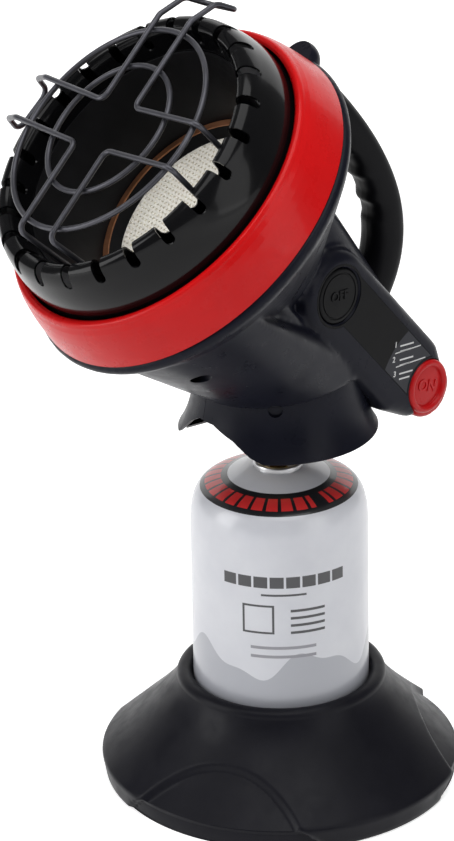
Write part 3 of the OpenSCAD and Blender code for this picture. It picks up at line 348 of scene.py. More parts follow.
def turned(outline, steps):
    """Points and faces of a closed outline of (radius, height) turned about the z axis."""
    return loft([[(r * x, r * y, z) for r, z in outline] for x, y in circle(1, steps)], around=True)


def revolved(name, outline, steps, finish, **more):
    return piece(name, *turned(outline, steps), finish, **more)


def hull_of(points):
    """Closed convex skin round points given in millimetres, as a bmesh in metres."""
    bm = bmesh.new()
    for p in points:
        bm.verts.new(p * MM)
    made = bmesh.ops.convex_hull(bm, input=bm.verts)
    loose = [g for g in made["geom_interior"] + made["geom_unused"] if isinstance(g, bmesh.types.BMVert)]
    bmesh.ops.delete(bm, geom=list(set(loose)), context="VERTS")
    bmesh.ops.recalc_face_normals(bm, faces=bm.faces)
    return bm


def add_bmesh(target, source):
    mesh = mesh_of("form", source)
    target.from_mesh(mesh)
    bpy.data.meshes.remove(mesh)


def turned_bmesh(outline, steps, place):
    return skin_bmesh(*turned(outline, steps), place, MERGE / 10)


def prism_bmesh(outline, z0, z1, place):
    """A closed outline of (x, y) drawn out between two heights, as a bmesh in metres."""
    return skin_bmesh(*loft([[(x, y, z) for x, y in outline] for z in (z0, z1)]), place)


def temp_object(name, bm):
    """An object for a modifier to work on."""
    return object_of(name, mesh_of(name, bm))


def with_modifiers(obj, *steps):
    """Applies modifiers given as (kind, settings) and returns the mesh."""
    for kind, settings in steps:
        m = obj.modifiers.new(kind.lower(), kind)
        for k, v in settings.items():
            setattr(m, k, v)
    bpy.context.view_layer.update()
    mesh = bpy.data.meshes.new_from_object(obj.evaluated_get(bpy.context.evaluated_depsgraph_get()))
    bpy.data.objects.remove(obj)
    return mesh


def rod_bmesh(r, z0, z1, steps, place):
    return turned_bmesh([(0, z0), (r, z0), (r, z1), (0, z1)], steps, place)


def less(name, mesh, cutters):
    """The mesh with every cutter taken away."""
    tools = [temp_object("%s_cut_%d" % (name, k), bm) for k, bm in enumerate(cutters)]
    steps = [("BOOLEAN", {"operation": "DIFFERENCE", "solver": "MANIFOLD", "object": t}) for t in tools]
    result = with_modifiers(object_of(name, mesh), *steps)
    for t in tools:
        bpy.data.objects.remove(t)
    return result


# ---- foot

ARCHES = [math.radians(-55.8 + 120 * k) for k in range(3)]
ARCH_H, ARCH_HALF, ARCH_DEPTH = 40.0, 67.0, 3.6
ARCH_EDGE = 3.2
LIP_POINTS = 16


def foot_outline():
    """Outer skin from the inside of the lip to the floor, and the inner skin back up."""
    outer = arc(60.6, 64.5, 5.0, 180, 0, 14)
    outer += bezier((65.6, 64.5), (69.1, 56.0), (76.0, 46.0), (113.2, 14.6), 56)[1:]
    outer += bezier((113.2, 14.6), (114.2, 13.4), (113.9, 12.0), (113.5, 10.4), 4)[1:]
    outer += [(113.0, 7.5), (112.4, 4.0), (111.9, 1.2), (111.2, 0.25), (110.2, 0.0)]
    inner = [(108.7, 0.0), (110.0, 9.0), (108.6, 13.4)]
    inner += bezier((108.6, 13.4), (90.0, 30.0), (74.0, 44.0), (62.6, 60.0), 12)[1:]
    inner += [(58.6, 60.0), (58.6, 30.0), (55.6, 30.0)]
    return outer, inner


def arch_depth_at(a, r, z):
    """How far the skin is sunk at one place, for the arched panels."""
    deep = 0.0
    for mid in ARCHES:
        d = (a - mid + math.pi) % (2 * math.pi) - math.pi
        if abs(d) > 1.2:
            continue
        x = r * math.sin(d)
        top = ARCH_H * (1 - (x / ARCH_HALF) ** 2)
        steep = math.hypot(1.0, 2 * ARCH_H * x / ARCH_HALF**2)
        inside = (top - z) / steep
        deep = max(deep, ARCH_DEPTH * smoothstep((inside + 0.6) / ARCH_EDGE))
    return deep


def make_foot():
    """The wide foot, with three arched panels sunk into its skin."""
    outer, inner = foot_outline()
    steps = 540
    rings = []
    for k in range(steps):
        a = math.tau * k / steps
        ring = []
        for i, (r, z) in enumerate(outer):
            u, v = way_at(outer, i)
            deep = arch_depth_at(a, r, z) if i > LIP_POINTS else 0.0
            ring.append((r + deep * v, max(z - deep * u, 0.0) if z > 1.3 else z))
        rings.append([(r * math.cos(a), r * math.sin(a), z) for r, z in ring + inner])
    piece("foot_shell", *loft(rings, around=True), "foot_black", body="foot", nodes=("foot",), angle=50.0)


# ---- cartridge


def make_can():
    """The cartridge from its domed base over the shoulder to the crimped cup."""
    z0, zs, zd, zc = 54.35, 165.75, 199.75, 206.95
    outline = [(0.0, z0 + 12)]
    outline += bezier((0.0, z0 + 12), (26, z0 + 12), (39, z0 + 7), (46, z0), 10)[1:]
    outline += bezier((48, z0), (52, z0), (55, z0 + 3), (55, z0 + 8), 8)
    outline += [(55, z0 + 8 + (zs - z0 - 8) * k / 12) for k in range(1, 12)]
    outline += bezier((55, zs), (55, zs + 25.5), (50.5, zd - 3.6), (36, zd), 28)
    outline += bezier((35, zd + 0.3), (28, zd + 2.6), (21.6, zc - 0.6), (15.6, zc), 12)
    outline += [(13.0, zc), (13.0, zc - 1.0), (12.85, zc - 1.0), (12.85, zc - 6), (0.0, zc - 6)]
    revolved("cartridge_shell", outline, 144, "tinplate", body="cartridge", nodes=("cartridge_can",))


make_foot()
make_can()

# ---- node trees


def new_tree(name, inputs):
    """A node tree with one geometry in, one geometry out and named inputs for its sizes."""
    tree = bpy.data.node_groups.new(name, "GeometryNodeTree")
    tree.interface.new_socket("Geometry", in_out="INPUT", socket_type="NodeSocketGeometry")
    for label, kind, value in inputs:
        s = tree.interface.new_socket(label, in_out="INPUT", socket_type="NodeSocket" + kind)
        if value is not None:
            s.default_value = value
    tree.interface.new_socket("Geometry", in_out="OUTPUT", socket_type="NodeSocketGeometry")
    return tree, tree.nodes.new("NodeGroupInput"), tree.nodes.new("NodeGroupOutput")


def close_tree(tree, out, geometry, material):
    """Ends a tree with real geometry in one material."""
    real = wire_up(tree, "GeometryNodeRealizeInstances", {"Geometry": geometry})
    done = wire_up(tree, "GeometryNodeSetMaterial", {"Geometry": real.outputs[0], "Material": material})
    tree.links.new(done.outputs[0], out.inputs[0])


def grown(name, tree, base, values, finish, place, nodes=(), angle=35.0):
    """Runs a tree on a base mesh and keeps the result as a plain mesh."""
    carrier = object_of(name + "_base", base)
    mod = carrier.modifiers.new("grow", "NODES")
    mod.node_group = tree
    for item in tree.interface.items_tree:
        if item.item_type == "SOCKET" and item.in_out == "INPUT" and item.name in values:
            mod[item.identifier] = values[item.name]
    bpy.context.view_layer.update()
    deps = bpy.context.evaluated_depsgraph_get()
    mesh = bpy.data.meshes.new_from_object(carrier.evaluated_get(deps))
    bpy.data.objects.remove(carrier)
    mesh.name = name
    mesh.transform(place_in_metres(place))
    return keep_piece(name, mesh, finish, "heater", nodes, angle)


def place_in_metres(place):
    m = place.copy()
    m.translation = m.translation * MM
    return m


def path_mesh(name, runs, bends=None):
    """Edges along each run of points, in metres, closed where the run says so."""
    verts, edges, radii = [], [], []
    for r, (points, closed) in enumerate(runs):
        first = len(verts)
        verts += [Vector(p) * MM for p in points]
        radii += [(bends[r][i] if bends else 0.0) * MM for i in range(len(points))]
        edges += [(first + i, first + i + 1) for i in range(len(points) - 1)]
        if closed:
            edges.append((len(verts) - 1, first))
    mesh = bpy.data.meshes.new(name)
    mesh.from_pydata(verts, edges, [])
    bend = mesh.attributes.new("bend", "FLOAT", "POINT")
    for i, v in enumerate(radii):
        bend.data[i].value = v
    return mesh


def drawn_wire_tree():
    """Wire drawn along a path, with each corner bent to its own radius."""
    tree, gin, out = new_tree("drawn_wire", [("Wire radius", "Float", 0.0017), ("Sides", "Int", 14)])
    curve = wire_up(tree, "GeometryNodeMeshToCurve", {"Mesh": gin.outputs["Geometry"]})
    radius = wire_up(tree, "GeometryNodeInputNamedAttribute", {"Name": "bend"}, data_type="FLOAT")
    bent = wire_up(tree, "GeometryNodeFilletCurve", {"Curve": curve.outputs[0], "Count": 9,
                   "Radius": radius.outputs["Attribute"], "Limit Radius": True}, mode="POLY")
    section = wire_up(tree, "GeometryNodeCurvePrimitiveCircle", {"Resolution": gin.outputs["Sides"],
                      "Radius": gin.outputs["Wire radius"]})
    tube = wire_up(tree, "GeometryNodeCurveToMesh", {"Curve": bent.outputs[0],
                   "Profile Curve": section.outputs[0], "Fill Caps": True})
    close_tree(tree, out, tube.outputs[0], finishes["guard_steel"])
    return tree


GUARD_T, WIRE_R, GUARD_HALF, GUARD_SHIFT = 172.2, 1.7, 14.8, 1.7
GUARD_TURN, GUARD_LAG = 8.0, 5.0
GUARD_RINGS = (43.5, 68.6)


def guard_bend(k):
    """Where the wire turns next to the head's axis, a quarter turn for each k."""
    a = math.radians(GUARD_TURN + 45 + 90 * k)
    reach = GUARD_HALF * math.sqrt(2)
    return Vector((reach * math.cos(a), reach * math.sin(a) + GUARD_SHIFT))


def guard_leg(corner, turn, radius, t):
    """The point at one radius on the straight wire that leaves a bend."""
    d = Vector((math.cos(math.radians(turn)), math.sin(math.radians(turn))))
    m = corner.dot(d)
    p = corner + d * (math.sqrt(m * m + radius**2 - corner.length_squared) - m)
    return (p.x, p.y, t)


def guard_end(corner, turn):
    """From the foot of a leg, inside the mouth, up to the guard's plane."""
    return [guard_leg(corner, turn, 71.6, 126.0), guard_leg(corner, turn, 75.5, GUARD_T)]


def guard_hook(corner, turn):
    """From the guard's plane out over the rolled edge and down beside it."""
    return [guard_leg(corner, turn, 79.0, GUARD_T), guard_leg(corner, turn, 97.0, 164.0),
            guard_leg(corner, turn, 103.8, 148.0)]


def make_guard():
    """One long wire with three bent arms, one short wire and two rings under them."""
    tree = drawn_wire_tree()
    right, up, left, down = (GUARD_TURN + d for d in (0.0, 90.0, 180.0 - GUARD_LAG, 270.0))
    corner = [guard_bend(k) for k in range(4)]
    middle = [[(c.x, c.y, GUARD_T)] for c in corner]
    long_run = (guard_end(corner[0], right) + middle[0] + guard_hook(corner[0], up)
                + guard_hook(corner[1], up)[::-1] + middle[1] + guard_hook(corner[1], left)
                + guard_hook(corner[2], left)[::-1] + middle[2] + guard_end(corner[2], down)[::-1])
    long_bend = [0, 5, 5, 7, 9, 7, 7, 9, 7, 5, 7, 9, 7, 7, 9, 7, 5, 5, 0]
    short_run = guard_end(corner[3], right) + middle[3] + guard_end(corner[3], down)[::-1]
    short_bend = [0, 5, 5, 5, 0]
    wire = {"Wire radius": WIRE_R * MM, "Sides": 14}
    base = path_mesh("guard_path", [(long_run, False), (short_run, False)], [long_bend, short_bend])
    grown("guard_wire", tree, base, wire, "guard_steel", to_head, ("guard_wires",))
    rings = [([(x, GUARD_SHIFT + y, GUARD_T - 2 * WIRE_R) for x, y in circle(r, 120)], True)
             for r in GUARD_RINGS]
    base = path_mesh("guard_ring_path", rings)
    grown("guard_ring", tree, base, wire, "guard_steel", to_head, ("guard_rings",))


# ---- bezel


SHEET = 1.2
SLOT_HALF = 3.2


def bezel_outline():
    """Cross-section of the pressed sheet: seen side first, then back along the hidden side."""
    c = [(97.0, 112.0), (97.0, 121.0)]
    c += bezier((97.0, 130.2), (96.6, 137.2), (94.8, 143.2), (93.6, 147.5), 10)
    c += bezier((93.6, 147.5), (92.6, 151.0), (90.4, 157.2), (86.0, 157.2), 12)[1:]
    c += bezier((86.0, 157.2), (82.4, 157.2), (80.6, 155.6), (79.6, 151.2), 9)[1:]
    c += [(78.0, 144.2), (77.4, 141.0), (77.0, 138.0)]
    back = []
    for i, (r, t) in enumerate(c):
        u, v = way_at(c, i)
        back.append((r - SHEET * v, t + SHEET * u))
    return c + back[::-1]


def slot_cutter():
    """A bar with a round underside, along +X."""
    section = arc(0, 0, SLOT_HALF, 180, 360, 16) + [(SLOT_HALF, 22), (-SLOT_HALF, 22)]
    along_x = Matrix(((0, 0, 1, 0), (1, 0, 0, 0), (0, 1, 0, 0), (0, 0, 0, 1)))
    return temp_object("slot_cutter", prism_bmesh(section, 0, 26, along_x))


def slotted_rim_tree():
    """Cuts equal slots round a rim about the z axis."""
    tree, gin, out = new_tree("slotted_rim", [("Cutter", "Object", None), ("Slots", "Int", 24),
                              ("Start radius", "Float", 0.074), ("Height", "Float", 0.1468),
                              ("Turn", "Float", 0.15), ("Rise", "Float", 0.21)])
    tool = wire_up(tree, "GeometryNodeObjectInfo", {"Object": gin.outputs["Cutter"]})
    spots = wire_up(tree, "GeometryNodeMeshCircle", {"Vertices": gin.outputs["Slots"],
                    "Radius": gin.outputs["Start radius"]})
    index = wire_up(tree, "GeometryNodeInputIndex")
    step = sum_of(tree, "DIVIDE", math.tau, gin.outputs["Slots"])
    angle = sum_of(tree, "MULTIPLY", index.outputs[0], step)
    slope = sum_of(tree, "MULTIPLY", gin.outputs["Rise"], -1.0)
    turn = wire_up(tree, "ShaderNodeCombineXYZ", {"Y": slope, "Z": angle})
    bars = wire_up(tree, "GeometryNodeInstanceOnPoints", {"Points": spots.outputs[0],
                   "Instance": tool.outputs["Geometry"], "Rotation": turn.outputs[0]})
    shift = wire_up(tree, "ShaderNodeCombineXYZ", {"Z": gin.outputs["Height"]})
    whole = wire_up(tree, "ShaderNodeCombineXYZ", {"Z": gin.outputs["Turn"]})
    placed = wire_up(tree, "GeometryNodeTransform", {"Geometry": bars.outputs[0],
                     "Translation": shift.outputs[0], "Rotation": whole.outputs[0]})
    solid = wire_up(tree, "GeometryNodeRealizeInstances", {"Geometry": placed.outputs[0]})
    cut = wire_up(tree, "GeometryNodeMeshBoolean", operation="DIFFERENCE", solver="EXACT")
    tree.links.new(gin.outputs["Geometry"], cut.inputs["Mesh 1"])
    tree.links.new(solid.outputs[0], cut.inputs["Mesh 2"])
    close_tree(tree, out, cut.outputs[0], finishes["black_enamel"])
    return tree


def make_bezel():
    """The rolled black sheet round the mouth with its slots."""
    cutter = slot_cutter()
    base = mesh_of("bezel_sheet", turned_bmesh(bezel_outline(), 192, to_object))
    sizes = {"Cutter": cutter, "Slots": 24, "Start radius": 0.074, "Height": 0.1466,
             "Turn": math.radians(8.6), "Rise": math.radians(12)}
    grown("bezel_rim", slotted_rim_tree(), base, sizes, "black_enamel", to_head, ("bezel",), 38.0)
    bpy.data.objects.remove(cutter)


# ---- ceramic tile


def honeycomb_tree():
    """A sheet of hexagons inside a disc, each one sunk by a small hole."""
    tree, gin, out = new_tree("honeycomb", [("Disc radius", "Float", 0.0585), ("Cell", "Float", 0.0032),
                              ("Hole share", "Float", 0.5), ("Hole depth", "Float", 0.0016)])
    count = 46
    size = sum_of(tree, "MULTIPLY", gin.outputs["Cell"], float(count - 1))
    grid = wire_up(tree, "GeometryNodeMeshGrid", {"Size X": size, "Size Y": size,
                   "Vertices X": count, "Vertices Y": count})
    place = wire_up(tree, "GeometryNodeInputPosition")
    parts = wire_up(tree, "ShaderNodeSeparateXYZ", {0: place.outputs[0]})
    lean = sum_of(tree, "MULTIPLY_ADD", parts.outputs["Y"], 0.5, parts.outputs["X"])
    tall = sum_of(tree, "MULTIPLY", parts.outputs["Y"], math.sqrt(3) / 2)
    sheared = wire_up(tree, "ShaderNodeCombineXYZ", {"X": lean, "Y": tall})
    skew = wire_up(tree, "GeometryNodeSetPosition", {"Geometry": grid.outputs[0],
                   "Position": sheared.outputs[0]})
    split = wire_up(tree, "GeometryNodeTriangulate", {"Mesh": skew.outputs[0]},
                    quad_method="SHORTEST_DIAGONAL")
    comb = wire_up(tree, "GeometryNodeDualMesh", {"Mesh": split.outputs[0]})
    middle = wire_up(tree, "GeometryNodeInputPosition")
    reach = wire_up(tree, "ShaderNodeVectorMath", {0: middle.outputs[0]}, operation="LENGTH")
    beyond = wire_up(tree, "FunctionNodeCompare", {"A": reach.outputs["Value"],
                     "B": gin.outputs["Disc radius"]}, data_type="FLOAT", operation="GREATER_THAN")
    kept = wire_up(tree, "GeometryNodeDeleteGeometry", {"Geometry": comb.outputs[0],
                   "Selection": beyond.outputs[0]}, domain="FACE")
    inset = wire_up(tree, "GeometryNodeExtrudeMesh", {"Mesh": kept.outputs[0], "Offset Scale": 0.0,
                    "Individual": True}, mode="FACES")
    small = wire_up(tree, "GeometryNodeScaleElements", {"Geometry": inset.outputs["Mesh"],
                    "Selection": inset.outputs["Top"], "Scale": gin.outputs["Hole share"]}, domain="FACE")
    depth = sum_of(tree, "MULTIPLY", gin.outputs["Hole depth"], -1.0)
    sunk = wire_up(tree, "GeometryNodeExtrudeMesh", {"Mesh": small.outputs[0],
                   "Selection": inset.outputs["Top"], "Offset Scale": depth,
                   "Individual": True}, mode="FACES")
    close_tree(tree, out, sunk.outputs["Mesh"], finishes["tile"])
    return tree


def make_tile():
    """The ceramic burner tile: a sheet of holes on a plain block."""
    base = bpy.data.meshes.new("tile_seed")
    sizes = {"Disc radius": 0.0583, "Cell": 0.0034, "Hole share": 0.46, "Hole depth": 0.0012}
    face = to_head @ Matrix.Translation((0, 0, 78.0))
    grown("tile_face", honeycomb_tree(), base, sizes, "tile", face, angle=30.0)
    outline = [(0.0, 66.0), (61.0, 66.0), (61.0, 78.0), (57.0, 78.0), (57.0, 76.5), (0.0, 76.5)]
    revolved("tile_block", outline, 96, "tile", place=to_head, nodes=("ceramic_plaque",), angle=30.0)


make_guard()
make_bezel()
make_tile()

# ---- housing


def disc_points(place, x, y, z0, z1, r, n=96):
    """The two rims of a disc, each a ring of points."""
    return [place @ Vector((x + u, y + v, z)) for z in (z0, z1) for u, v in circle(r, n)]


# the core's radius, how far it lies under the head's axis, where the cone starts and how low the core goes
CORE_R, CORE_LOW, CONE_T, CORE_END = 40.0, 11.0, 13.0, -29.0
# thickness of the housing and of its skirt
WALL, SKIRT_WALL = 4.2, 2.6
# how much further along, and how much narrower, a 45 degree cone runs for each mm inwards
CONE_STEP, CONE_SHRINK = 0.414, 1.414

chin_place = Matrix.Translation((0, 0, 272)) @ Matrix.Rotation(math.radians(8), 4, "X")


def cone_outline(inset):
    """Half outline of the cone behind the burner, about the head's axis."""
    start = CONE_T + inset * CONE_STEP
    if inset == 0:
        bead = arc(109.0, 88.6, 4.0, -40, 90, 10)
        return [(0.0, start), (CORE_R, start), (110.6, 83.6)] + bead + [(0.0, 92.6)]
    end = 68.0
    pts = [(0.0, start), (CORE_R - inset, start), (CORE_R - inset + end - start, end)]
    return pts + [(90.0, end), (90.0, 76.0), (0.0, 76.0)]


def tail_points(inset):
    return disc_points(to_head, 0, 12, -72 + inset, -70 + inset, 32.0 - inset)


def chin_points(inset):
    """The round lower lip of the core, over the skirt."""
    return disc_points(chin_place, 0, 0, -1.5 - inset, 1.5 + inset, 51.5 if inset == 0 else 46.8)


def core_points(inset):
    """From the tail over the round core to the two shoulders behind the cone."""
    pts = tail_points(inset) + disc_points(to_head, 0, -CORE_LOW, CORE_END + inset, -inset, CORE_R - inset)
    for x in (-20, 20):
        pts += disc_points(to_head, x, 37, 34 - 2 * inset, 35 - 2 * inset, 20 - inset)
    return pts


def belly_points(inset):
    """Between the tail, the chin and the lower end of the core."""
    low = disc_points(to_head, 0, -CORE_LOW, CORE_END + inset, CORE_END + 2 + inset, CORE_R - 0.5 - inset)
    return tail_points(inset) + chin_points(inset) + low


def cowl_points(inset):
    """From the underside of the cone over the front of the core to the chin."""
    end = 75.0 if inset == 0 else 68.0
    r = CORE_R + end - 1 - CONE_T - inset * CONE_SHRINK - 0.25
    brim = disc_points(to_object, 0, 0, end - 1, end, r, 160)
    low = disc_points(to_object, 0, -CORE_LOW, CORE_END + inset, -2 * inset, CORE_R - 0.25 - inset)
    front = [p for p in brim if p.y < -33 - 2 * inset] + [p for p in low if p.y < -CORE_LOW]
    return [to_head @ p for p in front] + chin_points(inset)


def web_points():
    """Fills the corner between the cone, the arm and the front of the core."""
    pts = [to_panel @ Vector((x, -21, z)) for x in (-10, 45) for z in (-15, -30)]
    for t in (6.0, 40.0):
        pts += [to_head @ Vector((*p, t)) for p in arc(0, 0, CORE_R + t - CONE_T - 0.8, -52, -11.2, 12)]
    low = arc(0, -CORE_LOW, CORE_R - 0.6, -70, -10, 12)
    return pts + [to_head @ Vector((*p, CORE_END + 2)) for p in low]


def arm_points():
    """The control arm: round at its upper end and slanted at its lower one, with round edges."""
    edge, half, depth = 8.0, 28.0, 62.0
    corners = [(101.5, half - edge), (112.5, 15.0), (112.5, -12.0), (92.0, edge - half)]
    pts = []
    for z in (-edge, edge - depth):
        for i in range(48):
            x1, y1 = math.cos(math.tau * i / 48), math.sin(math.tau * i / 48)
            for b in range(-90, 91, 15):
                lift, reach = edge * math.sin(math.radians(b)), edge * math.cos(math.radians(b))
                rim = half - edge + reach
                pts.append(to_panel @ Vector((rim * x1, rim * y1, z + lift)))
                for x, y in corners:
                    pts.append(to_panel @ Vector((x + reach * x1, y + reach * y1, z + lift)))
    return pts


THUMB = [(-3.5, 16.4), (11.5, 16.0), (16.0, 14.0), (20.0, 8.5), (22.0, 1.5), (21.5, -5.0), (17.5, -12.5),
         (11.0, -17.5), (5.0, -18.2), (-4.0, -15.8)]


def thumb_reach(a):
    """Distance from the ON button's round part to its outline in one direction."""
    ray = Vector((math.cos(a), math.sin(a)))
    best = 17.3
    for p, q in zip(THUMB, THUMB[1:] + THUMB[:1]):
        e = Vector(q) - Vector(p)
        det = ray.x * -e.y + ray.y * e.x
        if abs(det) < 1e-9:
            continue
        reach = (p[0] * -e.y + p[1] * e.x) / det
        along = (ray.x * p[1] - ray.y * p[0]) / det
        if reach > 0 and 0 <= along <= 1:
            best = max(best, reach)
    return best


def on_outline(grow, n=120):
    """The ON button's outline on the panel, with its corners softened."""
    raw = [thumb_reach(math.tau * i / n) for i in range(n)]
    soft = [sum(raw[(i + k) % n] for k in (-2, -1, 0, 1, 2)) / 5 for i in range(n)]
    return [(ON_AT[0] + (r + grow) * math.cos(math.tau * i / n),
             ON_AT[1] + (r + grow) * math.sin(math.tau * i / n)) for i, r in enumerate(soft)]


def label_outline(grow):
    """The label between the round OFF button and the ON button."""
    r, q = 19.6 + grow, 18.7 - grow
    low, high = -11.0 - grow, 18.4 + grow
    a0, a1 = math.degrees(math.asin(high / r)), 360 + math.degrees(math.asin(low / r))
    pts = arc(0, 0, r, a0, a1, 60)
    b0 = 180 + math.degrees(math.asin((ON_AT[1] - low) / q))
    b1 = 180 - math.degrees(math.asin((high - ON_AT[1]) / q))
    return pts + arc(ON_AT[0], ON_AT[1], q, b0, b1, 40)


ALONG_X = Matrix.Rotation(math.radians(90), 4, "Y")
WELL_R = 4.5


def cone_well():
    """A sunk screw place on the cone's underside."""
    return rod_bmesh(WELL_R, 12, 110, 32, to_head @ Matrix.Translation((0, -76, 45)) @ ALONG_X)


def skirt_well():
    """A sunk screw place on the right over the skirt."""
    turn = Matrix.Rotation(math.radians(-35), 4, "Z")
    return rod_bmesh(WELL_R, 49.3, 110, 32, Matrix.Translation((0, 0, 265)) @ turn @ ALONG_X)


def seam_bmesh():
    """The line where the two halves of the housing meet."""
    return prism_bmesh([(-0.15, -300), (0.15, -300), (0.15, 300), (-0.15, 300)], 100, 600, to_object)


def make_housing():
    """The cowl: its forms are merged, blended into each other and hollowed by smaller ones."""
    body = turned_bmesh(cone_outline(0), 192, to_head)
    for points in (core_points(0), belly_points(0), cowl_points(0), web_points(), arm_points()):
        add_bmesh(body, hull_of(points))
    form = with_modifiers(temp_object("cowl_form", body),
                          ("REMESH", {"mode": "VOXEL", "voxel_size": 0.0015}),
                          ("SMOOTH", {"factor": 0.5, "iterations": 8}))
    cuts = [turned_bmesh(cone_outline(WALL), 160, to_head)]
    cuts += [hull_of(points(WALL)) for points in (core_points, belly_points, cowl_points)]
    throat = to_head @ Matrix.Translation((0, -CORE_LOW / 2, 0))
    cuts += [rod_bmesh(24, -5, 20, 64, throat), rod_bmesh(96.4, 70, 140, 160, to_head)]
    off_seat = [(0, -10), (17.35, -10), (17.35, -1.4), (19.0, 0.6), (19.0, 30), (0, 30)]
    cuts.append(turned_bmesh(off_seat, 96, to_panel))
    cuts.append(prism_bmesh(on_outline(0.4), -30, 30, to_panel))
    cuts.append(prism_bmesh(label_outline(0.15), -0.5, 6, to_panel))
    cuts += [seam_bmesh(), cone_well(), skirt_well()]
    keep_piece("housing_cowl", less("cowl", form, cuts), "moulded_black",
               nodes=("housing_left", "housing_right"))


def front_opening():
    """The stepped cut-out in the skirt's front."""
    steps = [(-32, -9), (52, -9), (46, 0), (38, 3.3), (26, 10.6), (10, 16.5), (-4, 16.5), (-14, 10.9),
             (-26, 0)]
    front = Matrix.Translation((0, -24, 233.5)) @ Matrix.Rotation(math.radians(90), 4, "X")
    return prism_bmesh(steps, 0, 61, front)


def make_skirt():
    """The flaring skirt over the cartridge's neck and the shelf inside its lower edge."""
    outer = bezier((50.0, 284.0), (50.5, 262.0), (53.0, 246.0), (61.0, 233.9), 26)
    inner = [(r - SKIRT_WALL, z) for r, z in outer][::-1]
    inner[0] = (58.6, 233.6)
    form = temp_object("skirt_form", turned_bmesh(outer + [(60.6, 233.5)] + inner, 180, to_object))
    mesh = less("skirt", with_modifiers(form), [front_opening(), skirt_well(), seam_bmesh()])
    keep_piece("housing_skirt", mesh, "moulded_black")
    shelf = [(17.0, 234.75), (56.0, 234.75), (56.0, 234.75 + SKIRT_WALL), (17.0, 234.75 + SKIRT_WALL)]
    form = temp_object("shelf_form", turned_bmesh(shelf, 120, to_object))
    keep_piece("housing_shelf", less("shelf", with_modifiers(form), [front_opening()]), "moulded_black")


def make_rim():
    """The collar in the red ring's rear and the round lug behind the ring's top."""
    outline = [(96.4, 88.0), (108.05, 88.0), (108.05, 98.0), (96.4, 98.0)]
    revolved("housing_rim", outline, 192, "moulded_black", place=to_head)
    dome = [(0.0, -11.8)] + arc(0, 0, 11.8, -88, 22, 20) + [(0.0, 4.4)]
    revolved("housing_lug", dome, 48, "moulded_black",
             place=to_head @ Matrix.Translation((-4, 110, 88)))


make_housing()
make_skirt()
make_rim()

# ---- handle


HANDLE_STEPS, HANDLE_TOP = 150, 79.0
HANDLE_HALF_W, HANDLE_HALF_T = 13.0, 11.5
GROOVES, GROOVE_DEPTH = 4, 2.0


def handle_line():
    """The grip's middle line (y, t) from the tail of the core up to the red ring."""
    fine = bezier((101.2, 92.6), (105.2, 0.4), (83.0, -49.5), (27.6, -58.6), 400)
    line = [fine[round(i / HANDLE_STEPS * 400)] for i in range(HANDLE_STEPS + 1)]
    return [p for p in line if p[1] < HANDLE_TOP]


def grip_swell(u):
    """Depth of the finger grooves on the inner side, with a ridge between each pair."""
    first, last = 0.15, 0.61
    if u < first or u > last:
        return 0.0
    return GROOVE_DEPTH * (1 - abs(math.cos(math.pi * GROOVES * (u - first) / (last - first))) ** 5)


def make_handle():
    """Two halves of an oval grip that meet in a seam along the middle."""
    half = 16
    line = handle_line()
    for side, name, node in ((1, "grip_right", "handle_right"), (-1, "grip_left", "handle_left")):
        rings = []
        for i, (y, t) in enumerate(line):
            u, v = way_at(line, i)
            groove = grip_swell((HANDLE_STEPS + 1 - len(line) + i) / HANDLE_STEPS)
            ring = []
            for k in range(half + 1):
                a = math.radians(-90 + 180 * k / half)
                w = HANDLE_HALF_W * math.cos(a) ** 0.75 if k not in (0, half) else 0.0
                tall = HANDLE_HALF_T - (groove if a < 0 else 0.0)
                h = math.copysign(abs(math.sin(a)) ** 0.8, math.sin(a)) * tall
                ring.append((side * max(w, 0.06), y - v * h, t + u * h))
            rings.append(ring)
        piece(name, *loft(rings), "grip_black", place=to_head, nodes=(node,), angle=40.0)


make_handle()

# ---- controls


def lettering(name, text, size, at, turn, depth, finish, body="heater"):
    """Plain raised letters on the panel, made a mesh before they are placed."""
    curve = bpy.data.curves.new(name, "FONT")
    curve.body = text
    curve.size = size
    curve.extrude = depth / 2
    curve.offset = 0.02 * size
    curve.resolution_u = 3
    curve.align_x = "CENTER"
    curve.align_y = "CENTER"
    mesh = with_modifiers(object_of(name, curve))
    mesh.transform(Matrix.Scale(MM, 4))
    mesh.transform(place_in_metres(to_panel @ Matrix.Translation(at)
                                   @ Matrix.Rotation(math.radians(turn), 4, "Z")))
    bm = bmesh.new()
    bm.from_mesh(mesh)
    bmesh.ops.remove_doubles(bm, verts=bm.verts, dist=MERGE)
    bm.to_mesh(mesh)
    bm.free()
    return keep_piece(name, mesh, finish, body, (), 30.0)


def make_on_button():
    """A thumb-shaped cap with a round raised rim and a shallow dish."""
    n = 120
    out = [(x - ON_AT[0], y - ON_AT[1]) for x, y in on_outline(0.0, n)]
    rings = [[(x, y, -24.0) for x, y in out]]
    # rolled edge, then the raised rim and the dish
    for inset, z in ((0.0, -4.2), (0.35, -2.6), (1.1, -1.5), (2.2, -0.9)):
        rings.append([(x * (1 - inset / math.hypot(x, y)), y * (1 - inset / math.hypot(x, y)), z)
                      for x, y in out])
    dish = [(12.3, -1.1), (11.0, -1.0), (7.0, -0.85), (3.0, -0.8)]
    for r, z in arc(14.8, -0.8, 2.25, 0, 180, 12) + dish:
        rings.append([(x, y, z) for x, y in circle(r, n)])
    piece("on_cap", *loft(rings), "red_plastic", body="on_button", nodes=("on_button",),
          place=to_panel @ Matrix.Translation((*ON_AT, 0)), angle=40.0)
    lettering("on_letters", "ON", 10.5, (*ON_AT, -0.7), 32.0, 1.0, "red_plastic", "on_button")


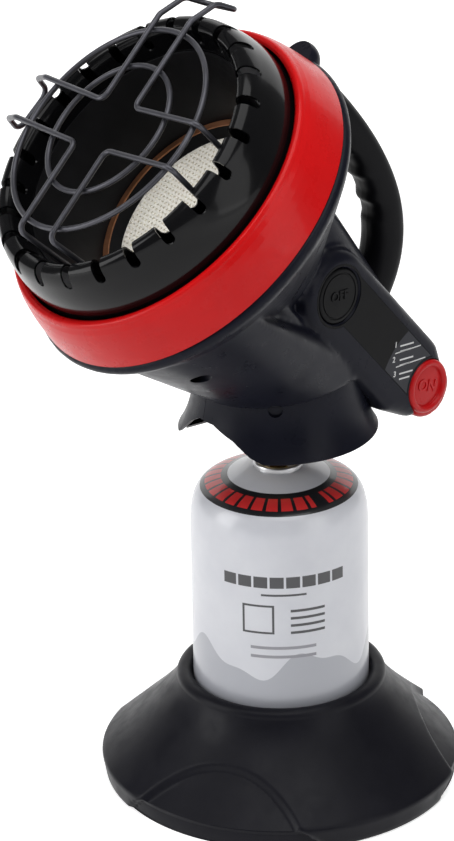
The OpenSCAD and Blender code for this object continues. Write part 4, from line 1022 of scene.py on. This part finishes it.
def make_off_button():
    """A round cap with a fine groove near its edge, on a short stem."""
    outline = [(0.0, -6.6), (17.0, -6.6), (17.0, -1.6), (16.6, -0.9), (15.8, -0.6), (14.6, -0.6),
               (14.3, -1.15), (13.6, -1.15), (13.3, -0.6), (8.0, -0.5), (0.0, -0.45)]
    revolved("off_cap", outline, 96, "black_plastic", place=to_panel, body="off_button",
             nodes=("off_button",), angle=40.0)
    stem = [(0.0, -18.0), (2.0, -18.0), (2.0, -6.6), (0.0, -6.6)]
    revolved("off_stem", stem, 24, "black_plastic", place=to_panel, body="off_button")
    lettering("off_letters", "OFF", 8.2, (0, 0, -0.25), 44.0, 0.7, "black_plastic", "off_button")


def flat_piece(name, outline, z, finish):
    """A thin printed patch on the label."""
    keep_piece(name, mesh_of(name, prism_bmesh(outline, z - 0.1, z, to_panel)), finish, angle=35.0)


def rule(name, a, b, width):
    """A printed line from a to b."""
    a, b = Vector(a), Vector(b)
    side = Vector((a.y - b.y, b.x - a.x)).normalized() * width / 2
    flat_piece(name, [tuple(p) for p in (a - side, b - side, b + side, a + side)], 0.09, "print_white")


def make_label():
    """Black plate with a grey sector round the ON button, white rules and plain numbers."""
    plate = temp_object("label_form", prism_bmesh(label_outline(0.0), -0.5, 0.0, to_panel))
    hole = rod_bmesh(18.4, -3, 3, 96, to_panel)
    keep_piece("label_plate", less("label", with_modifiers(plate), [hole]), "label_black",
               nodes=("panel_plate",))
    far, near, low, high = 45.0, 19.6, -10.6, 18.0
    a0 = 180 + math.degrees(math.asin((ON_AT[1] - low) / far))
    a1 = 180 - math.degrees(math.asin((high - ON_AT[1]) / far))
    b0 = 180 - math.degrees(math.asin((high - ON_AT[1]) / near))
    b1 = 180 + math.degrees(math.asin((ON_AT[1] - low) / near))
    sector = arc(*ON_AT, far, a0, a1, 30) + arc(*ON_AT, near, b0, b1, 30)
    flat_piece("label_sector", sector, 0.05, "label_grey")
    rule("label_rule_upper", (70.0, 1.5), (86.5, 17.6), 0.7)
    rule("label_rule_lower", (77.0, -4.2), (96.0, 14.6), 0.7)
    for k, at in enumerate(((66.6, 5.6, 0.05), (72.0, -2.0, 0.05), (79.5, -8.0, 0.05))):
        lettering("label_number_%d" % (k + 1), str(k + 1), 5.0, at, 38.0, 0.12, "print_white")
    for k in range(3):
        for m in range(2):
            x, y = 70.5 + 6.2 * k + 2.4 * m, 7.2 - 6.4 * k - 2.4 * m
            rule("label_line_%d%d" % (k, m), (x, y), (x + 9.0 - 2.0 * m, y + 8.2 - 1.8 * m), 1.0)


make_on_button()
make_off_button()
make_label()

# ---- stage


def backdrop_material(name, shade, lift):
    """White paper that is clear from behind. The lift makes it white to the eye, more so far away."""
    m, t, lit, coords = new_material(name)
    feed_all(t, lit, {"Base Color": (shade, shade, shade, 1), "Roughness": 0.85,
                      "Specular IOR Level": 0.1})
    path = wire_up(t, "ShaderNodeLightPath")
    seen = sum_of(t, "MAXIMUM", path.outputs["Is Camera Ray"],
                  sum_of(t, "MAXIMUM", path.outputs["Is Glossy Ray"], path.outputs["Is Transmission Ray"]))
    far = wire_up(t, "ShaderNodeVectorMath", {0: coords}, operation="LENGTH").outputs["Value"]
    gain = sum_of(t, "MULTIPLY_ADD", far, 0.5, lift - 0.45)
    gain = sum_of(t, "MINIMUM", sum_of(t, "MAXIMUM", gain, lift), 1.0)
    glow = wire_up(t, "ShaderNodeEmission", {"Strength": sum_of(t, "MULTIPLY", seen, gain)})
    both = wire_up(t, "ShaderNodeAddShader", {0: lit.outputs[0], 1: glow.outputs[0]})
    behind = wire_up(t, "ShaderNodeNewGeometry").outputs["Backfacing"]
    clear = wire_up(t, "ShaderNodeBsdfTransparent")
    paper = wire_up(t, "ShaderNodeMixShader", {0: behind, 1: both.outputs[0], 2: clear.outputs[0]})
    link(t, paper.outputs[0], t.nodes["Material Output"].inputs["Surface"])
    return m


def studio():
    """A floor that sweeps up behind the heater."""
    bm = bmesh.new()
    rows = [(-4.5, 0.0), (3.2, 0.0), (3.7, 0.05), (4.0, 0.2), (4.2, 0.5), (4.2, 4.0)]
    turn = Matrix.Rotation(math.radians(57.7), 4, "Z") @ Matrix.Translation((0, 0, -0.0002))
    strips = [[bm.verts.new(turn @ Vector((x, y, z))) for x in (-4.5, 4.5)] for y, z in rows]
    for a, b in zip(strips, strips[1:]):
        bm.faces.new((a[0], a[1], b[1], b[0]))
    mesh = mesh_of("studio_floor", bm)
    floor = object_of("studio_floor", mesh)
    for p in mesh.polygons:
        p.use_smooth = True
    mesh.materials.append(backdrop_material("studio_paper", 0.88, 0.62))


studio()


def area_lamp(name, at, size, power):
    """A soft lamp that faces the middle of the heater."""
    lamp = bpy.data.lights.new(name, "AREA")
    lamp.shape = "RECTANGLE"
    lamp.size, lamp.size_y = size
    lamp.energy = power
    lamp.spread = math.pi
    obj = object_of(name, lamp)
    obj.location = at
    d = Vector((0, 0, 0.3)) - Vector(at)
    obj.rotation_euler = d.to_track_quat("-Z", "Y").to_euler()


area_lamp("soft_overhead", (0.3, -0.2, 1.7), (1.6, 1.6), 21)
area_lamp("soft_left", (-0.6, -1.9, 0.9), (1.0, 1.6), 21)
area_lamp("soft_right", (1.9, 0.6, 0.9), (1.0, 1.6), 9)

world = bpy.data.worlds.new("studio_air")
bpy.context.scene.world = world
world.use_nodes = True
air = world.node_tree.nodes["Background"]
air.inputs["Color"].default_value = (1, 1, 1, 1)
air.inputs["Strength"].default_value = 0.22

# ---- camera

camera = bpy.data.cameras.new("studio_camera")
camera.lens = 152.79
camera.sensor_width = 36.0
camera.sensor_fit = "AUTO"
cam = object_of("studio_camera", camera)
right = Vector((0.5408922, 0.84091237, -0.0173785))
up = Vector((-0.33132018, 0.23201224, 0.91454757))
ahead = Vector((-0.77308639, 0.4889138, -0.40410484))
cam.matrix_world = Matrix.Translation((1.66263723, -1.08824372, 1.11436826)) @ Matrix(
    (right, up, -ahead)).transposed().to_4x4()
bpy.context.scene.camera = cam
bpy.context.scene.view_settings.view_transform = "Standard"
